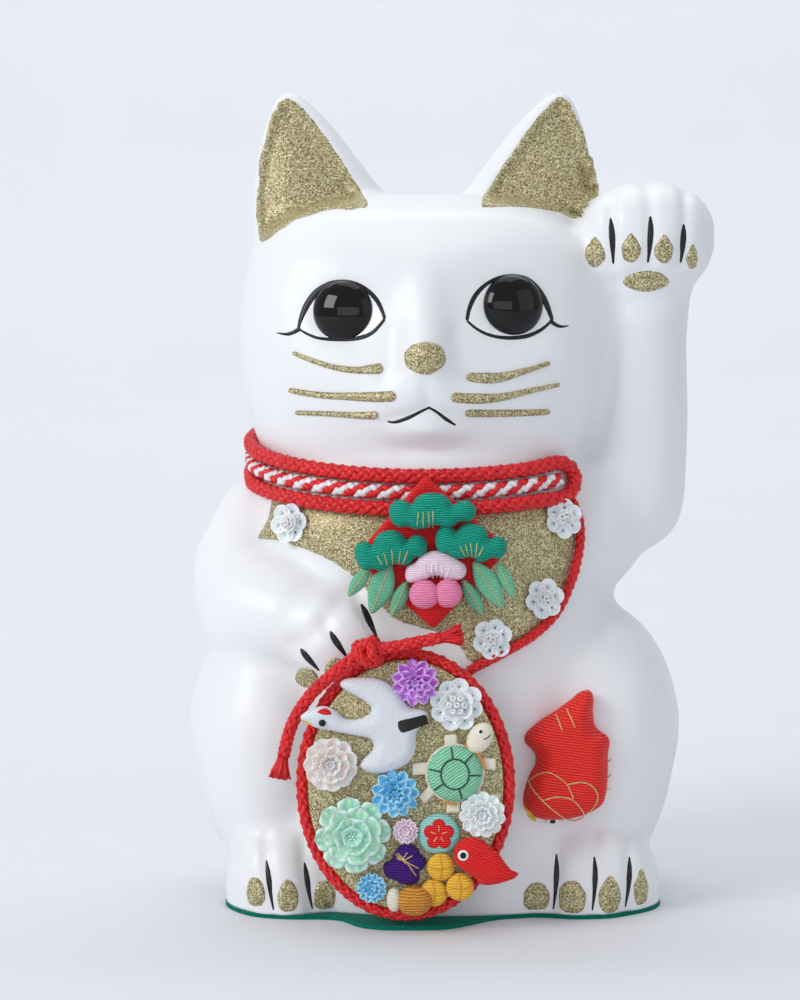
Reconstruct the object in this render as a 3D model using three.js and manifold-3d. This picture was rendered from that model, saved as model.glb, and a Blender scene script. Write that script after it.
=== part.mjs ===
// Beckoning cat figurine: a hollow slip-cast cat that is dressed by hand with a glitter bib, braided
// cords, padded crepe motifs and an oval board covered in small crepe and resin ornaments.
// Millimetres. +X is the cat's left (the raised arm), the cat faces -Y, +Z is up, and the origin is the
// centre of the felt's underside.

import * as THREE from 'three';
import { mergeVertices } from 'three/addons/utils/BufferGeometryUtils.js';
import Module from 'manifold-3d';

const wasm = await Module();
wasm.setup();

// ---------------------------------------------------------------- driving dimensions

const gap = 0.3;                 // between any two pieces that touch
const wall = 5;                  // thickness of the casting

const feltThickness = 1.3;
const baseWidth = 140;
const baseFront = 74;            // the felt reaches forward under the board
const baseBack = 46;
const baseShift = 6;             // the raised side stands a little wider

const torsoWidth = 132;
const torsoFront = 56;
const torsoBack = 54;
const torsoHeight = 150;

const headWidth = 119;
const headFront = 47;
const headBack = 46;
const headHeight = 98;
const headShift = -2;            // the head sits slightly off the body's middle
const headOverlap = 24;          // how deep the head sinks into the shoulders

const earHeight = 50;
const earWidth = 49;
const earThickness = 24;

const eyeSize = 20;              // glass cabochon across
const eyeThickness = 9;
const eyeSpacing = 51.6;
const eyeHeight = 0.64;          // share of the head's height

const armReach = 84;             // from the elbow up to the middle of the raised paw
const armThickness = 33;
const pawWidth = 44;

const haunchWidth = 60;
const haunchHeight = 90;
const footWidth = 45;
const footHeight = 29;

const braidSize = 4.7;           // collar cords
const braidPitch = braidSize + gap;
const edgeCordSize = 3.4;        // cord along the bib's free edge
const boardCordSize = 4.3;       // cord round the board, and its tails

const bibThickness = 1.7;
const patchWidth = 49;
const patchHeight = 48;
const patchThickness = 3.4;
const padThickness = 3.6;
const leafThickness = 1.8;
const sequinFlowerSize = 11.6;

const boardWidth = 60;
const boardHeight = 77;
const boardThickness = 6;
const boardLean = THREE.MathUtils.degToRad(4.5);
const boardForward = 3;           // its foot stands this much further out than it needs to
const boardScale = 0.97;          // the board and all on it are laid out a little over size

const plushLength = 43;
const plushWidth = 29;
const plushThickness = 15;

// ---------------------------------------------------------------- colours

const finishes = {
  pearl_white: [0xf0f1f4, 0.32, 0],
  felt_green: [0x0c6b4f, 0.95, 0],
  eye_glass: [0x050507, 0.05, 0],
  red_cord: [0xc4161c, 0.45, 0],
  striped_cord: [0xd98a8c, 0.45, 0],
  gold_glitter: [0xa99a60, 0.4, 0.6],
  red_crepe: [0xcc2229, 0.8, 0],
  green_crepe: [0x16936a, 0.8, 0],
  leaf_crepe: [0x77cda3, 0.8, 0],
  pale_pink_crepe: [0xf0dce6, 0.8, 0],
  pink_crepe: [0xee8fb4, 0.8, 0],
  white_crepe: [0xf3f3f1, 0.8, 0],
  mint_crepe: [0x93d8b4, 0.8, 0],
  cream_crepe: [0xece4d0, 0.8, 0],
  aqua_crepe: [0x93d4cc, 0.8, 0],
  purple_crepe: [0x3a0a6b, 0.8, 0],
  yellow_crepe: [0xecc043, 0.8, 0],
  brown_crepe: [0xc08236, 0.8, 0],
  sequin: [0xf4f4fa, 0.15, 0.1],
  purple_resin: [0xb45fd2, 0.35, 0],
  peach_resin: [0xecd0ca, 0.35, 0],
  blue_resin: [0x62b0ea, 0.35, 0],
  mint_resin: [0xa8e2c6, 0.35, 0],
  pink_resin: [0xecbcd8, 0.35, 0],
  white_resin: [0xf2f5f2, 0.35, 0],
};

function finish(name) {
  const [color, roughness, metalness] = finishes[name];
  return new THREE.MeshStandardMaterial({ name, color, roughness, metalness });
}

// ---------------------------------------------------------------- solids

function solid(geometry) {
  const bare = geometry.index ? geometry.clone() : geometry;
  bare.deleteAttribute('normal');
  bare.deleteAttribute('uv');
  const merged = mergeVertices(bare, 1e-4);
  return new wasm.Manifold(new wasm.Mesh({
    numProp: 3,
    vertProperties: new Float32Array(merged.attributes.position.array),
    triVerts: new Uint32Array(merged.index.array),
  }));
}

function surface(manifold) {
  const mesh = manifold.getMesh();
  const geometry = new THREE.BufferGeometry();
  geometry.setAttribute('position', new THREE.BufferAttribute(new Float32Array(mesh.vertProperties), 3));
  geometry.setIndex(new THREE.BufferAttribute(new Uint32Array(mesh.triVerts), 1));
  geometry.computeVertexNormals();
  return geometry;
}

function union(solids) {
  return solids.reduce((all, one) => all.add(one));
}

function reshape(geometry, place) {
  const points = geometry.attributes.position;
  const point = new THREE.Vector3();
  for (let i = 0; i < points.count; i += 1) {
    point.fromBufferAttribute(points, i);
    place(point);
    points.setXYZ(i, point.x, point.y, point.z);
  }
  return geometry;
}

function bent(value, squareness) {
  return Math.sign(value) * Math.abs(value) ** (2 / squareness);
}

// A rounded mass: a ball whose half sizes and squareness can be set.
function egg({ at, half, square = 2, around = 18, up = 10, turn = [0, 0, 0], grow = 0 }) {
  const geometry = new THREE.SphereGeometry(1, around, up).rotateX(Math.PI / 2);
  reshape(geometry, (p) => {
    const size = Math.hypot(Math.abs(p.x) ** (square / 2), Math.abs(p.y) ** (square / 2),
      Math.abs(p.z) ** (square / 2)) ** (2 / square);
    p.set(p.x / size * (half[0] + grow), p.y / size * (half[1] + grow), p.z / size * (half[2] + grow));
  });
  geometry.rotateX(turn[0]).rotateY(turn[1]).rotateZ(turn[2]);
  return solid(geometry.translate(...at));
}

// A stack of rings, each a squared ellipse: [height, shift x, shift y, half width, front, back].
class Stack {
  constructor(rings, square) {
    this.places = new THREE.CatmullRomCurve3(rings.map((r) => new THREE.Vector3(r[1], r[2], r[0])));
    this.sizes = new THREE.CatmullRomCurve3(rings.map((r) => new THREE.Vector3(r[3], r[4], r[5])));
    this.square = square;
  }

  ring(t) {
    return { place: this.places.getPoint(t), size: this.sizes.getPoint(t) };
  }

  ringAt(z) {
    let low = 0;
    let high = 1;
    for (let i = 0; i < 24; i += 1) {
      const middle = (low + high) / 2;
      if (this.places.getPoint(middle).z < z) low = middle;
      else high = middle;
    }
    return this.ring((low + high) / 2);
  }

  // How far out the surface is in the direction of an angle round +Z.
  rim(z, angle, grow = 0) {
    const { place, size } = this.ringAt(z);
    const c = Math.cos(angle);
    const s = Math.sin(angle);
    const depth = s < 0 ? size.y : size.z;
    const x = place.x + bent(c, this.square) * (size.x + grow);
    return new THREE.Vector3(x, place.y + bent(s, this.square) * (depth + grow), z);
  }

  front(x, z, grow = 0) {
    const { place, size } = this.ringAt(z);
    const across = Math.min(Math.abs((x - place.x) / (size.x + grow)), 0.995);
    return place.y - (size.y + grow) * (1 - across ** this.square) ** (1 / this.square);
  }

  body(grow = 0, around = 32, up = 14) {
    const geometry = new THREE.CylinderGeometry(1, 1, 1, around, up).rotateX(Math.PI / 2);
    reshape(geometry, (p) => {
      const { place, size } = this.ring(p.z + 0.5);
      const r = Math.hypot(p.x, p.y);
      const c = r > 0 ? p.x / r : 0;
      const s = r > 0 ? p.y / r : 0;
      const depth = s < 0 ? size.y : size.z;
      p.set(place.x + bent(c, this.square) * (size.x + grow),
        place.y + bent(s, this.square) * (depth + grow), place.z);
    });
    return solid(geometry);
  }
}

// A round limb with its own thickness at each point, and a ball at each end.
function limb(points, radii, grow = 0, around = 16, along = 14) {
  const curve = new THREE.CatmullRomCurve3(points.map((p) => new THREE.Vector3(...p)));
  const length = curve.getLength();
  const first = radii[0] + grow;
  const last = radii[radii.length - 1] + grow;
  const ballRings = 4;
  const aside = new THREE.Vector3(0, 1, 0);
  const geometry = new THREE.SphereGeometry(1, around, along).rotateX(Math.PI / 2);
  return solid(reshape(geometry, (p) => {
    const level = along * Math.acos(THREE.MathUtils.clamp(-p.z, -1, 1)) / Math.PI;
    const left = along - level;
    let past = 0;
    if (level < ballRings) past = -first * Math.cos(Math.PI / 2 * level / ballRings);
    if (left < ballRings) past = last * Math.cos(Math.PI / 2 * left / ballRings);
    const t = THREE.MathUtils.clamp((level - ballRings) / (along - 2 * ballRings), 0, 1);
    const step = t * (radii.length - 1);
    const i = Math.min(Math.floor(step), radii.length - 2);
    const full = THREE.MathUtils.lerp(radii[i], radii[i + 1], step - i) + grow;
    const radius = Math.sqrt(Math.max(full * full - past * past, 0));
    const tangent = curve.getTangentAt(t);
    const side = new THREE.Vector3().crossVectors(tangent, aside).normalize();
    const other = new THREE.Vector3().crossVectors(side, tangent);
    const angle = Math.atan2(p.y, p.x);
    const onPole = Math.hypot(p.x, p.y) < 1e-9;
    p.copy(curve.getPointAt(t)).addScaledVector(tangent, past);
    if (!onPole) {
      p.addScaledVector(side, -radius * Math.cos(angle)).addScaledVector(other, radius * Math.sin(angle));
    }
  }));
}

// A cord: a round section swept along a curve.
function cord(curve, diameter, steps, sides = 8) {
  const section = new THREE.Shape();
  for (let i = 0; i < sides; i += 1) {
    const angle = 2 * Math.PI * i / sides;
    const x = Math.cos(angle) * diameter / 2;
    const y = Math.sin(angle) * diameter / 2;
    if (i === 0) section.moveTo(x, y);
    else section.lineTo(x, y);
  }
  section.closePath();
  return new THREE.ExtrudeGeometry(section, { steps, extrudePath: curve, bevelEnabled: false });
}

// A piece of felt or card cut to an outline, lying on z = 0.
function cutout(shape, thickness) {
  return new THREE.ExtrudeGeometry(shape, { depth: thickness, bevelEnabled: false, curveSegments: 4 });
}

// A stuffed shape: an outline with rounded edges. It lies on z = 0 and its face looks to +Z.
function pad(shape, thickness, round = 1, segments = 4) {
  const geometry = new THREE.ExtrudeGeometry(shape, {
    depth: thickness - 2 * round,
    bevelEnabled: true,
    bevelThickness: round,
    bevelSize: round,
    bevelOffset: -round,
    bevelSegments: 1,
    curveSegments: segments,
  });
  return geometry.translate(0, 0, round);
}

function outline(points) {
  return new THREE.Shape(points.map(([x, y]) => new THREE.Vector2(x, y)));
}

function smooth(points, divisions) {
  const curve = new THREE.CatmullRomCurve3(points.map(([x, y]) => new THREE.Vector3(x, y, 0)), true);
  return new THREE.Shape(curve.getPoints(divisions).slice(1).map((p) => new THREE.Vector2(p.x, p.y)));
}

function oval(halfWidth, halfHeight, divisions = 20) {
  const points = [];
  for (let i = 0; i < divisions; i += 1) {
    const angle = 2 * Math.PI * i / divisions;
    points.push([halfWidth * Math.cos(angle), halfHeight * Math.sin(angle)]);
  }
  return outline(points);
}

// A blossom: a low dome whose rim waves in and out once for each petal.
function blossom(radius, height, petals, wave = 0.1) {
  const profile = [[0, 0], [0.8, 0], [1, 0.45], [0.62, 0.85], [0, 1]];
  const points = profile.map(([r, h]) => new THREE.Vector2(r * radius, h * height));
  const geometry = new THREE.LatheGeometry(points, petals * 3).rotateX(Math.PI / 2);
  return reshape(geometry, (p) => {
    const angle = Math.atan2(p.y, p.x);
    const scale = 1 - wave * (0.5 + 0.5 * Math.cos(petals * angle));
    p.x *= scale;
    p.y *= scale;
  });
}

// ---------------------------------------------------------------- the casting

const castingLow = feltThickness + gap;
const neckHeight = torsoHeight - headOverlap;

const torso = new Stack([
  [castingLow, 3, 0, 0.47, 1.07, 0.92],
  [0.13 * torsoHeight, 2, 0, 0.5, 1.09, 1],
  [0.35 * torsoHeight, 1, 0, 0.5, 1.04, 1.02],
  [0.55 * torsoHeight, 0, 0, 0.47, 0.99, 0.96],
  [0.7 * torsoHeight, -1, 0, 0.44, 0.95, 0.88],
  [0.83 * torsoHeight, -2, 0, 0.42, 0.9, 0.8],
  [0.92 * torsoHeight, -2, 0, 0.4, 0.84, 0.76],
  [torsoHeight, -2, 0, 0.35, 0.74, 0.7],
].map(([z, x, y, wide, front, back]) => [z, x, y, wide * torsoWidth, front * torsoFront, back * torsoBack]), 2.3);

const head = new Stack([
  [0, 0.36, 0.66, 0.66],
  [0.1, 0.415, 0.83, 0.82],
  [0.2, 0.455, 0.94, 0.92],
  [0.33, 0.487, 1, 0.98],
  [0.47, 0.5, 1, 1],
  [0.61, 0.5, 0.97, 1],
  [0.74, 0.485, 0.9, 0.95],
  [0.83, 0.46, 0.81, 0.86],
  [0.91, 0.41, 0.66, 0.72],
  [0.965, 0.33, 0.48, 0.52],
  [1, 0.2, 0.24, 0.26],
].map(([h, wide, front, back]) => [
  neckHeight + h * headHeight, headShift, -1, wide * headWidth, front * headFront, back * headBack,
]), 2.35);

// One ear, leaning outwards: side is -1 for the cat's right ear and 1 for its left.
function ear(side, grow) {
  const foot = neckHeight + 0.83 * headHeight;
  const tip = foot + earHeight;
  const inward = side * (0.5 * headWidth - 0.5 * earWidth - 2.5) + headShift;
  const rings = [
    [0, -0.01, 0.49, 0.5],
    [0.17, 0, 0.475, 0.49],
    [0.34, 0.03, 0.44, 0.45],
    [0.56, 0.1, 0.34, 0.37],
    [0.78, 0.16, 0.23, 0.27],
    [0.94, 0.21, 0.11, 0.16],
    [1, 0.225, 0.04, 0.07],
  ];
  const stack = new Stack(rings.map(([h, lean, wide, deep]) => [
    foot + h * (tip - foot), inward + side * lean * earWidth, 1,
    wide * earWidth, deep * earThickness, deep * earThickness,
  ]), 2.2);
  return stack.body(grow, 16, 8);
}

const elbow = new THREE.Vector3(0.5 * torsoWidth, -4, torsoHeight - 24);
const pawTop = elbow.clone().add(new THREE.Vector3(3, -7, armReach));

function raisedArm(grow) {
  const r = armThickness / 2;
  const arm = limb([
    [elbow.x - 1, elbow.y, elbow.z],
    [elbow.x + 0.5, elbow.y - 1, elbow.z + 0.3 * armReach],
    [elbow.x + 1, elbow.y - 3, elbow.z + 0.6 * armReach],
    [elbow.x + 2, elbow.y - 5, elbow.z + 0.93 * armReach],
  ], [1.06 * r, 1.03 * r, 0.93 * r, 1.02 * r], grow);
  const paw = egg({
    at: [pawTop.x, pawTop.y, pawTop.z],
    half: [pawWidth / 2, 0.4 * pawWidth, 0.41 * pawWidth],
    square: 2.4,
    grow,
  });
  const shoulder = egg({
    at: [elbow.x - 0.3 * torsoWidth / 2, elbow.y - 2, elbow.z - 8],
    half: [24, 25, 24],
    grow,
  });
  return [arm, paw, shoulder];
}

const boardTop = feltThickness + gap + boardHeight + boardCordSize;
const lowerPawDepth = 15;
const lowerPaw = new THREE.Vector3(-0.21 * torsoWidth, -0.8 * torsoFront, boardTop + 2.7);

function lowerArm(grow) {
  const shoulder = limb([
    [-0.4 * torsoWidth, -4, 0.79 * torsoHeight],
    [-0.435 * torsoWidth, -14, 0.68 * torsoHeight],
    [-0.42 * torsoWidth, -24, 0.6 * torsoHeight],
  ], [17, 19.5, 18], grow);
  const forearm = limb([
    [-0.41 * torsoWidth, -26, 0.62 * torsoHeight],
    [-0.32 * torsoWidth, -37, 0.61 * torsoHeight],
    [lowerPaw.x, lowerPaw.y + 4, lowerPaw.z],
  ], [20, 17, 13.5], grow);
  const paw = egg({
    at: [lowerPaw.x, lowerPaw.y, lowerPaw.z],
    half: [19, lowerPawDepth, 15],
    square: 2.4,
    turn: [0, 0.5, 0],
    grow,
  });
  return [shoulder, forearm, paw];
}

function leg(side, grow) {
  const outer = side < 0 ? -0.365 * torsoWidth : 0.385 * torsoWidth;
  const haunch = egg({
    at: [outer, -12, 0.53 * haunchHeight + castingLow],
    half: [haunchWidth / 2, 41, 0.5 * haunchHeight],
    square: 2.1,
    around: 22,
    up: 14,
    grow,
  });
  const width = side < 0 ? 0.87 * footWidth : 1.1 * footWidth;
  const foot = egg({
    at: [outer - side * 1.5, -36, 0.18 * footHeight],
    half: [width / 2, 23, 0.84 * footHeight],
    square: 2.4,
    grow,
  });
  return [haunch, foot];
}

// A short round tail on the back, as such figurines have.
function tail(grow) {
  return limb([
    [-8, torsoBack - 8, 16],
    [2, torsoBack + 2, 24],
    [12, torsoBack - 2, 36],
  ], [10, 9, 6], grow, 12, 12);
}

function floorCutter() {
  const size = 2 * (torsoWidth + torsoFront + torsoBack);
  return solid(new THREE.BoxGeometry(size, size, size).translate(0, 0, castingLow - size / 2));
}

// The outside of the cat. Every piece that lies on it is trimmed by this shape, grown by the gap.
function catShape(grow) {
  const masses = [
    torso.body(grow), head.body(grow, 32, 16),
    ear(-1, grow), ear(1, grow),
    ...raisedArm(grow), ...lowerArm(grow),
    ...leg(-1, grow), ...leg(1, grow),
    tail(grow),
  ];
  return union(masses).subtract(floorCutter());
}

const skin = catShape(gap);

// The face of one eye: where it sits on the head, and which way it looks.
function eyeSeat(side) {
  const x = headShift + side * eyeSpacing / 2;
  const z = neckHeight + eyeHeight * headHeight;
  const look = new THREE.Vector3(side * 0.26, -1, 0.1).normalize();
  const seat = new THREE.Vector3(x, head.front(x, z), z);
  return { seat, look };
}

function towards(geometry, look, seat) {
  const turn = new THREE.Quaternion().setFromUnitVectors(new THREE.Vector3(0, 1, 0), look);
  return geometry.applyQuaternion(turn).translate(seat.x, seat.y, seat.z);
}

function eyeShape(side, grow) {
  const { seat, look } = eyeSeat(side);
  const r = eyeSize / 2 + grow;
  const sunk = 0.48 * eyeThickness + grow;
  const high = 0.52 * eyeThickness + grow;
  const points = [[0, -sunk], [r, -sunk], [r, 0], [0.9 * r, 0.45 * high], [0.6 * r, 0.82 * high], [0, high]];
  const geometry = new THREE.LatheGeometry(points.map(([x, y]) => new THREE.Vector2(x, y)), 24);
  return towards(geometry, look, seat);
}

function casting() {
  const cavity = union([
    torso.body(-wall, 20, 7),
    head.body(-wall, 20, 8),
  ]);
  const floor = castingLow + wall;
  const ceiling = neckHeight + headHeight - 2.4 * wall;
  const size = 2 * torsoWidth;
  const room = solid(new THREE.BoxGeometry(size, size, ceiling - floor)
    .translate(0, 0, (floor + ceiling) / 2));
  const opening = solid(new THREE.CylinderGeometry(0.3 * torsoWidth, 0.3 * torsoWidth, 4 * wall, 24)
    .rotateX(Math.PI / 2).translate(3, 0, castingLow));
  const hollow = cavity.intersect(room).add(opening);
  return catShape(0)
    .subtract(hollow)
    .subtract(solid(eyeShape(-1, gap)))
    .subtract(solid(eyeShape(1, gap)));
}

// ---------------------------------------------------------------- pieces on the body

function felt() {
  const points = [];
  const steps = 40;
  for (let i = 0; i < steps; i += 1) {
    const angle = 2 * Math.PI * i / steps;
    const depth = Math.sin(angle) < 0 ? baseFront : baseBack;
    points.push([baseShift + bent(Math.cos(angle), 2.4) * baseWidth / 2, bent(Math.sin(angle), 2.4) * depth]);
  }
  return new THREE.ExtrudeGeometry(outline(points), { depth: feltThickness, bevelEnabled: false });
}

// The collar: heights of its three runs on the neck, and the angle round the neck where each starts and
// ends. It turns back beside the raised arm, crosses the throat and goes round behind the neck.
const collarMiddle = neckHeight + 7;
const collarRise = 7;            // the collar's plane is higher at the nape than at the throat
const collarFrom = THREE.MathUtils.degToRad(-35);
const collarTo = THREE.MathUtils.degToRad(-318);

function collarPoint(angle, drop, proud) {
  const z = collarMiddle + collarRise * (1 + Math.sin(angle)) - drop;
  const out = new THREE.Vector3(Math.cos(angle), Math.sin(angle), 0);
  const onBody = torso.rim(z, angle, proud);
  const onHead = z > neckHeight ? head.rim(z, angle, proud) : onBody;
  return onHead.dot(out) > onBody.dot(out) ? onHead : onBody;
}

function collarRun(from, to, drop, count) {
  const points = [];
  for (let i = 0; i <= count; i += 1) {
    points.push(collarPoint(THREE.MathUtils.lerp(from, to, i / count), drop, gap + braidSize / 2 + 0.3));
  }
  return points;
}

function redCollar() {
  const upper = collarRun(collarTo, collarFrom, -braidPitch * 1.03, 30);
  const lower = collarRun(collarFrom, collarTo, braidPitch * 1.03, 30);
  const turn = collarPoint(collarFrom + 0.12, 0, gap + braidSize / 2 + 0.3);
  return cord(new THREE.CatmullRomCurve3([...upper, turn, ...lower]), braidSize, 84);
}

function stripedCollar() {
  const run = collarRun(collarFrom - 0.1, collarTo, 0, 30);
  return cord(new THREE.CatmullRomCurve3(run), braidSize, 42);
}

const bibTop = collarMiddle - 1.6 * braidPitch - gap - braidSize / 2;
const bibBottom = bibTop - 47;

const bibOutline = [
  [-50, bibTop], [-55, bibTop - 5], [-38, bibTop - 8], [-26, bibTop - 13], [-18, bibTop - 22],
  [-12, bibBottom + 18], [0, bibBottom + 13], [8, bibBottom + 5], [12, bibBottom + 1.2],
  [27, bibBottom + 6.6], [37.8, bibBottom + 17.6], [43, bibBottom + 33], [43.4, bibTop],
];

// A flat outline seen from the front, run back through the body so that it can be cut to a skin.
function frontPrism(shape) {
  const deep = 2 * torsoFront;
  const geometry = new THREE.ExtrudeGeometry(shape, { depth: deep, bevelEnabled: false, curveSegments: 4 });
  return solid(geometry.rotateX(Math.PI / 2));
}

function bib() {
  return frontPrism(outline(bibOutline))
    .intersect(torso.body(gap + bibThickness, 36, 16))
    .subtract(torso.body(gap, 36, 16))
    .subtract(skin);
}

function bibEdge() {
  const proud = gap + edgeCordSize / 2 + 0.4;
  const aside = edgeCordSize / 2 + gap + 0.2;
  const route = [
    [43.4 + aside, bibTop + 1], [43.4 + aside, bibBottom + 33], [38.4 + aside, bibBottom + 16.6],
    [28 + aside, bibBottom + 5.4 - 0.6 * aside], [12 + 0.3 * aside, bibBottom - aside + 0.8],
  ];
  const points = route.map(([x, z]) => new THREE.Vector3(x, torso.front(x, z, proud), z));
  return cord(new THREE.CatmullRomCurve3(points), edgeCordSize, 26);
}

// The chest motif lies in one upright plane in front of the bib and the collar.
const chestHeight = 0.76 * torsoHeight;
const chestPlane = Math.min(torso.front(-2, chestHeight - patchHeight / 2, gap + bibThickness),
  collarPoint(-Math.PI / 2, braidPitch, gap + braidSize).y - 0.6) - gap;

function onChest(geometry, x, up, layer) {
  return geometry.rotateX(Math.PI / 2).translate(x, chestPlane - layer, chestHeight + up);
}

function patch() {
  const w = patchWidth / 2;
  const h = patchHeight / 2;
  return pad(outline([[0, h], [-w, 0], [0, -h], [w, 0]]), patchThickness, 0.8);
}

// A pine cloud: three rounded lobes over an almost flat foot.
function pine(width, height) {
  const w = width / 2;
  return smooth([
    [-0.35 * w, -0.42 * height], [-0.85 * w, -0.38 * height], [-w, -0.08 * height], [-0.72 * w, 0.2 * height],
    [-0.42 * w, 0.5 * height], [0.42 * w, 0.5 * height], [0.72 * w, 0.2 * height], [w, -0.08 * height],
    [0.85 * w, -0.38 * height], [0.35 * w, -0.42 * height],
  ], 20);
}

function leaf(length, width) {
  return smooth([[0, length / 2], [-width / 2, 0.08 * length], [-0.3 * width, -0.25 * length],
    [0, -length / 2], [0.3 * width, -0.25 * length], [width / 2, 0.08 * length]], 12);
}

// Places a piece against the torso at a given x and height, facing straight out.
function onTorso(geometry, x, z, proud) {
  const step = 1;
  const y = torso.front(x, z, proud);
  const across = new THREE.Vector3(2 * step, torso.front(x + step, z) - torso.front(x - step, z), 0);
  const up = new THREE.Vector3(0, torso.front(x, z + step) - torso.front(x, z - step), 2 * step);
  const out = new THREE.Vector3().crossVectors(across, up).normalize();
  const turn = new THREE.Quaternion().setFromUnitVectors(new THREE.Vector3(0, 0, 1), out);
  return geometry.applyQuaternion(turn).translate(x, y, z);
}

// The plush fish hangs head down on the raised side's haunch.
function plush() {
  const w = plushWidth / 2;
  const l = plushLength / 2;
  const shape = smooth([
    [0.55 * w, l], [-0.1 * w, 0.88 * l], [-0.98 * w, 0.34 * l], [-0.78 * w, -0.02 * l],
    [-0.8 * w, -0.34 * l], [-w, -0.62 * l], [-0.7 * w, -0.92 * l], [0, -l], [0.7 * w, -0.8 * l],
    [0.9 * w, -0.5 * l], [0.98 * w, 0.1 * l], [0.86 * w, 0.5 * l],
  ], 30);
  const body = pad(shape, plushThickness, 2.5, 4);
  body.rotateX(Math.PI / 2).rotateX(-0.1).rotateZ(0.12);
  const x = 0.32 * torsoWidth;
  const z = 0.32 * torsoHeight;
  body.translate(x, -torsoFront + 7, z);
  return solid(body).subtract(skin);
}

// ---------------------------------------------------------------- the ornament board

// Board pieces are placed in the board's own plane: x across, y up, z out from its back.
const board = new THREE.Group();
const boardFace = boardThickness;
const boardFoot = boardHeight / 2 + boardCordSize + 0.3;

// How far forward the board's foot stands, so that it leans clear of the belly, the bib and the paw.
function boardStand() {
  const slope = Math.tan(boardLean);
  const proud = 2 * gap + edgeCordSize + 0.4;
  const clear = [lowerPaw.y - lowerPawDepth - boardTop * slope];
  for (let z = castingLow; z < boardTop; z += 5) clear.push(torso.front(0, z, proud) - z * slope);
  return Math.min(...clear) - gap - boardForward;
}

function placeBoard() {
  board.rotation.x = Math.PI / 2 - boardLean;
  board.scale.setScalar(boardScale);
  const up = new THREE.Vector3(0, Math.sin(boardLean), Math.cos(boardLean));
  const lift = boardThickness * Math.sin(boardLean) + boardCordSize * 0.1;
  board.position.set(-8, boardStand(), castingLow + lift).addScaledVector(up, boardScale * boardFoot);
}

const loopHalfWidth = boardWidth / 2 + boardCordSize / 2 + gap;
const loopHalfHeight = boardHeight / 2 + boardCordSize / 2 + gap;

// The cord glued round the board's rim: a ring stretched to an oval, its section kept round.
function boardLoop() {
  const ring = new THREE.TorusGeometry(boardWidth, boardCordSize / 2, 8, 40);
  return reshape(ring, (p) => {
    const angle = Math.atan2(p.y, p.x);
    const out = Math.hypot(p.x, p.y) - boardWidth;
    const normal = new THREE.Vector2(Math.cos(angle) / loopHalfWidth, Math.sin(angle) / loopHalfHeight);
    normal.normalize();
    p.set(loopHalfWidth * Math.cos(angle) + out * normal.x, loopHalfHeight * Math.sin(angle) + out * normal.y,
      p.z + boardThickness / 2);
  });
}

// Routes of the two free tails, from the knot outwards, in the board's plane.
const knotPlace = [-10.8, loopHalfHeight + 1.2, boardThickness / 2 + boardCordSize + 2];

const rightTailRoute = [
  [-11.8, 42.8, 9], [-9, 43, 9.1], [-6.2, 43.2, 9], [-3.2, 43.6, 8.8], [-0.2, 44.1, 8.5], [2.8, 44.7, 8.2],
  [5.8, 45.3, 8], [8.8, 45.9, 7.9], [11.6, 46.4, 7.9], [14, 46.6, 8], [16.4, 46.6, 8.2],
];

const leftTailRoute = [
  [-13.4, 41.6, 9.4], [-16.4, 39.9, 9.3], [-19.6, 37.6, 8.9], [-22.8, 34.9, 8.2], [-25.9, 32.2, 7.3],
  [-28.7, 29.5, 6.3], [-31.2, 26.5, 5.3], [-33.4, 23.2, 4.5], [-35.3, 19.7, 4], [-36.7, 16, 3.8],
  [-37.6, 12.4, 3.7], [-38.3, 9, 3.7], [-38.9, 6, 3.8], [-39.3, 3.4, 4],
];

function tailCord(route) {
  const points = route.map((p) => new THREE.Vector3(...p));
  return cord(new THREE.CatmullRomCurve3(points), boardCordSize, 16);
}

// The knot is pulled tight round the two tails, which come out of it.
function knot() {
  const ball = new THREE.SphereGeometry(1, 16, 10).scale(5.4, 4.8, 4.2).translate(...knotPlace);
  const channels = [rightTailRoute, leftTailRoute].map((route) => {
    const start = route.slice(0, 5).map((p) => new THREE.Vector3(...p));
    const back = start[0].clone().lerp(start[1], -0.12);
    return solid(cord(new THREE.CatmullRomCurve3([back, ...start]), boardCordSize + 2 * gap, 6));
  });
  return solid(ball).subtract(union(channels));
}

// The crane flies across the board with its beak to the left.
function crane() {
  return pad(smooth([
    [-33, 19.5], [-28.5, 23.2], [-24, 22.8], [-17.5, 24], [-20.5, 31], [-19, 33.5], [-12, 31.5], [-3.5, 24.5],
    [6.5, 24.2], [8, 20.5], [2.5, 14.5], [-4.5, 7.5], [-12.5, 4.2], [-14.8, 6], [-12.6, 12], [-17, 18.5],
    [-24.5, 18.8],
  ], 34), padThickness, 0.9);
}

function turtleLimbs() {
  return cutout(smooth([
    [3.6, 6.2], [6, 7.8], [9.4, 6.8], [12, 11], [11.6, 15], [15.8, 15], [18, 12], [23, 9.6],
    [26.6, 8.4], [26.4, 5.4], [23, 1], [20, -2.6], [16, -7], [13.6, -5.4], [10, -3], [6.6, -4.4],
    [4.6, -1.6], [7.4, 1.6], [5.6, 3.6],
  ], 38), 1.6);
}

// A small stuffed fish, nose to the left and tail to the lower right.
function smallFish() {
  return pad(smooth([
    [16.6, -22], [19.4, -18.6], [23, -17.6], [27.6, -20.4], [30.6, -23.4], [34.4, -24], [33, -28.4],
    [29.4, -28.6], [23.4, -27.8], [18.8, -26],
  ], 24), 4.4, 1.2);
}

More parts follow.
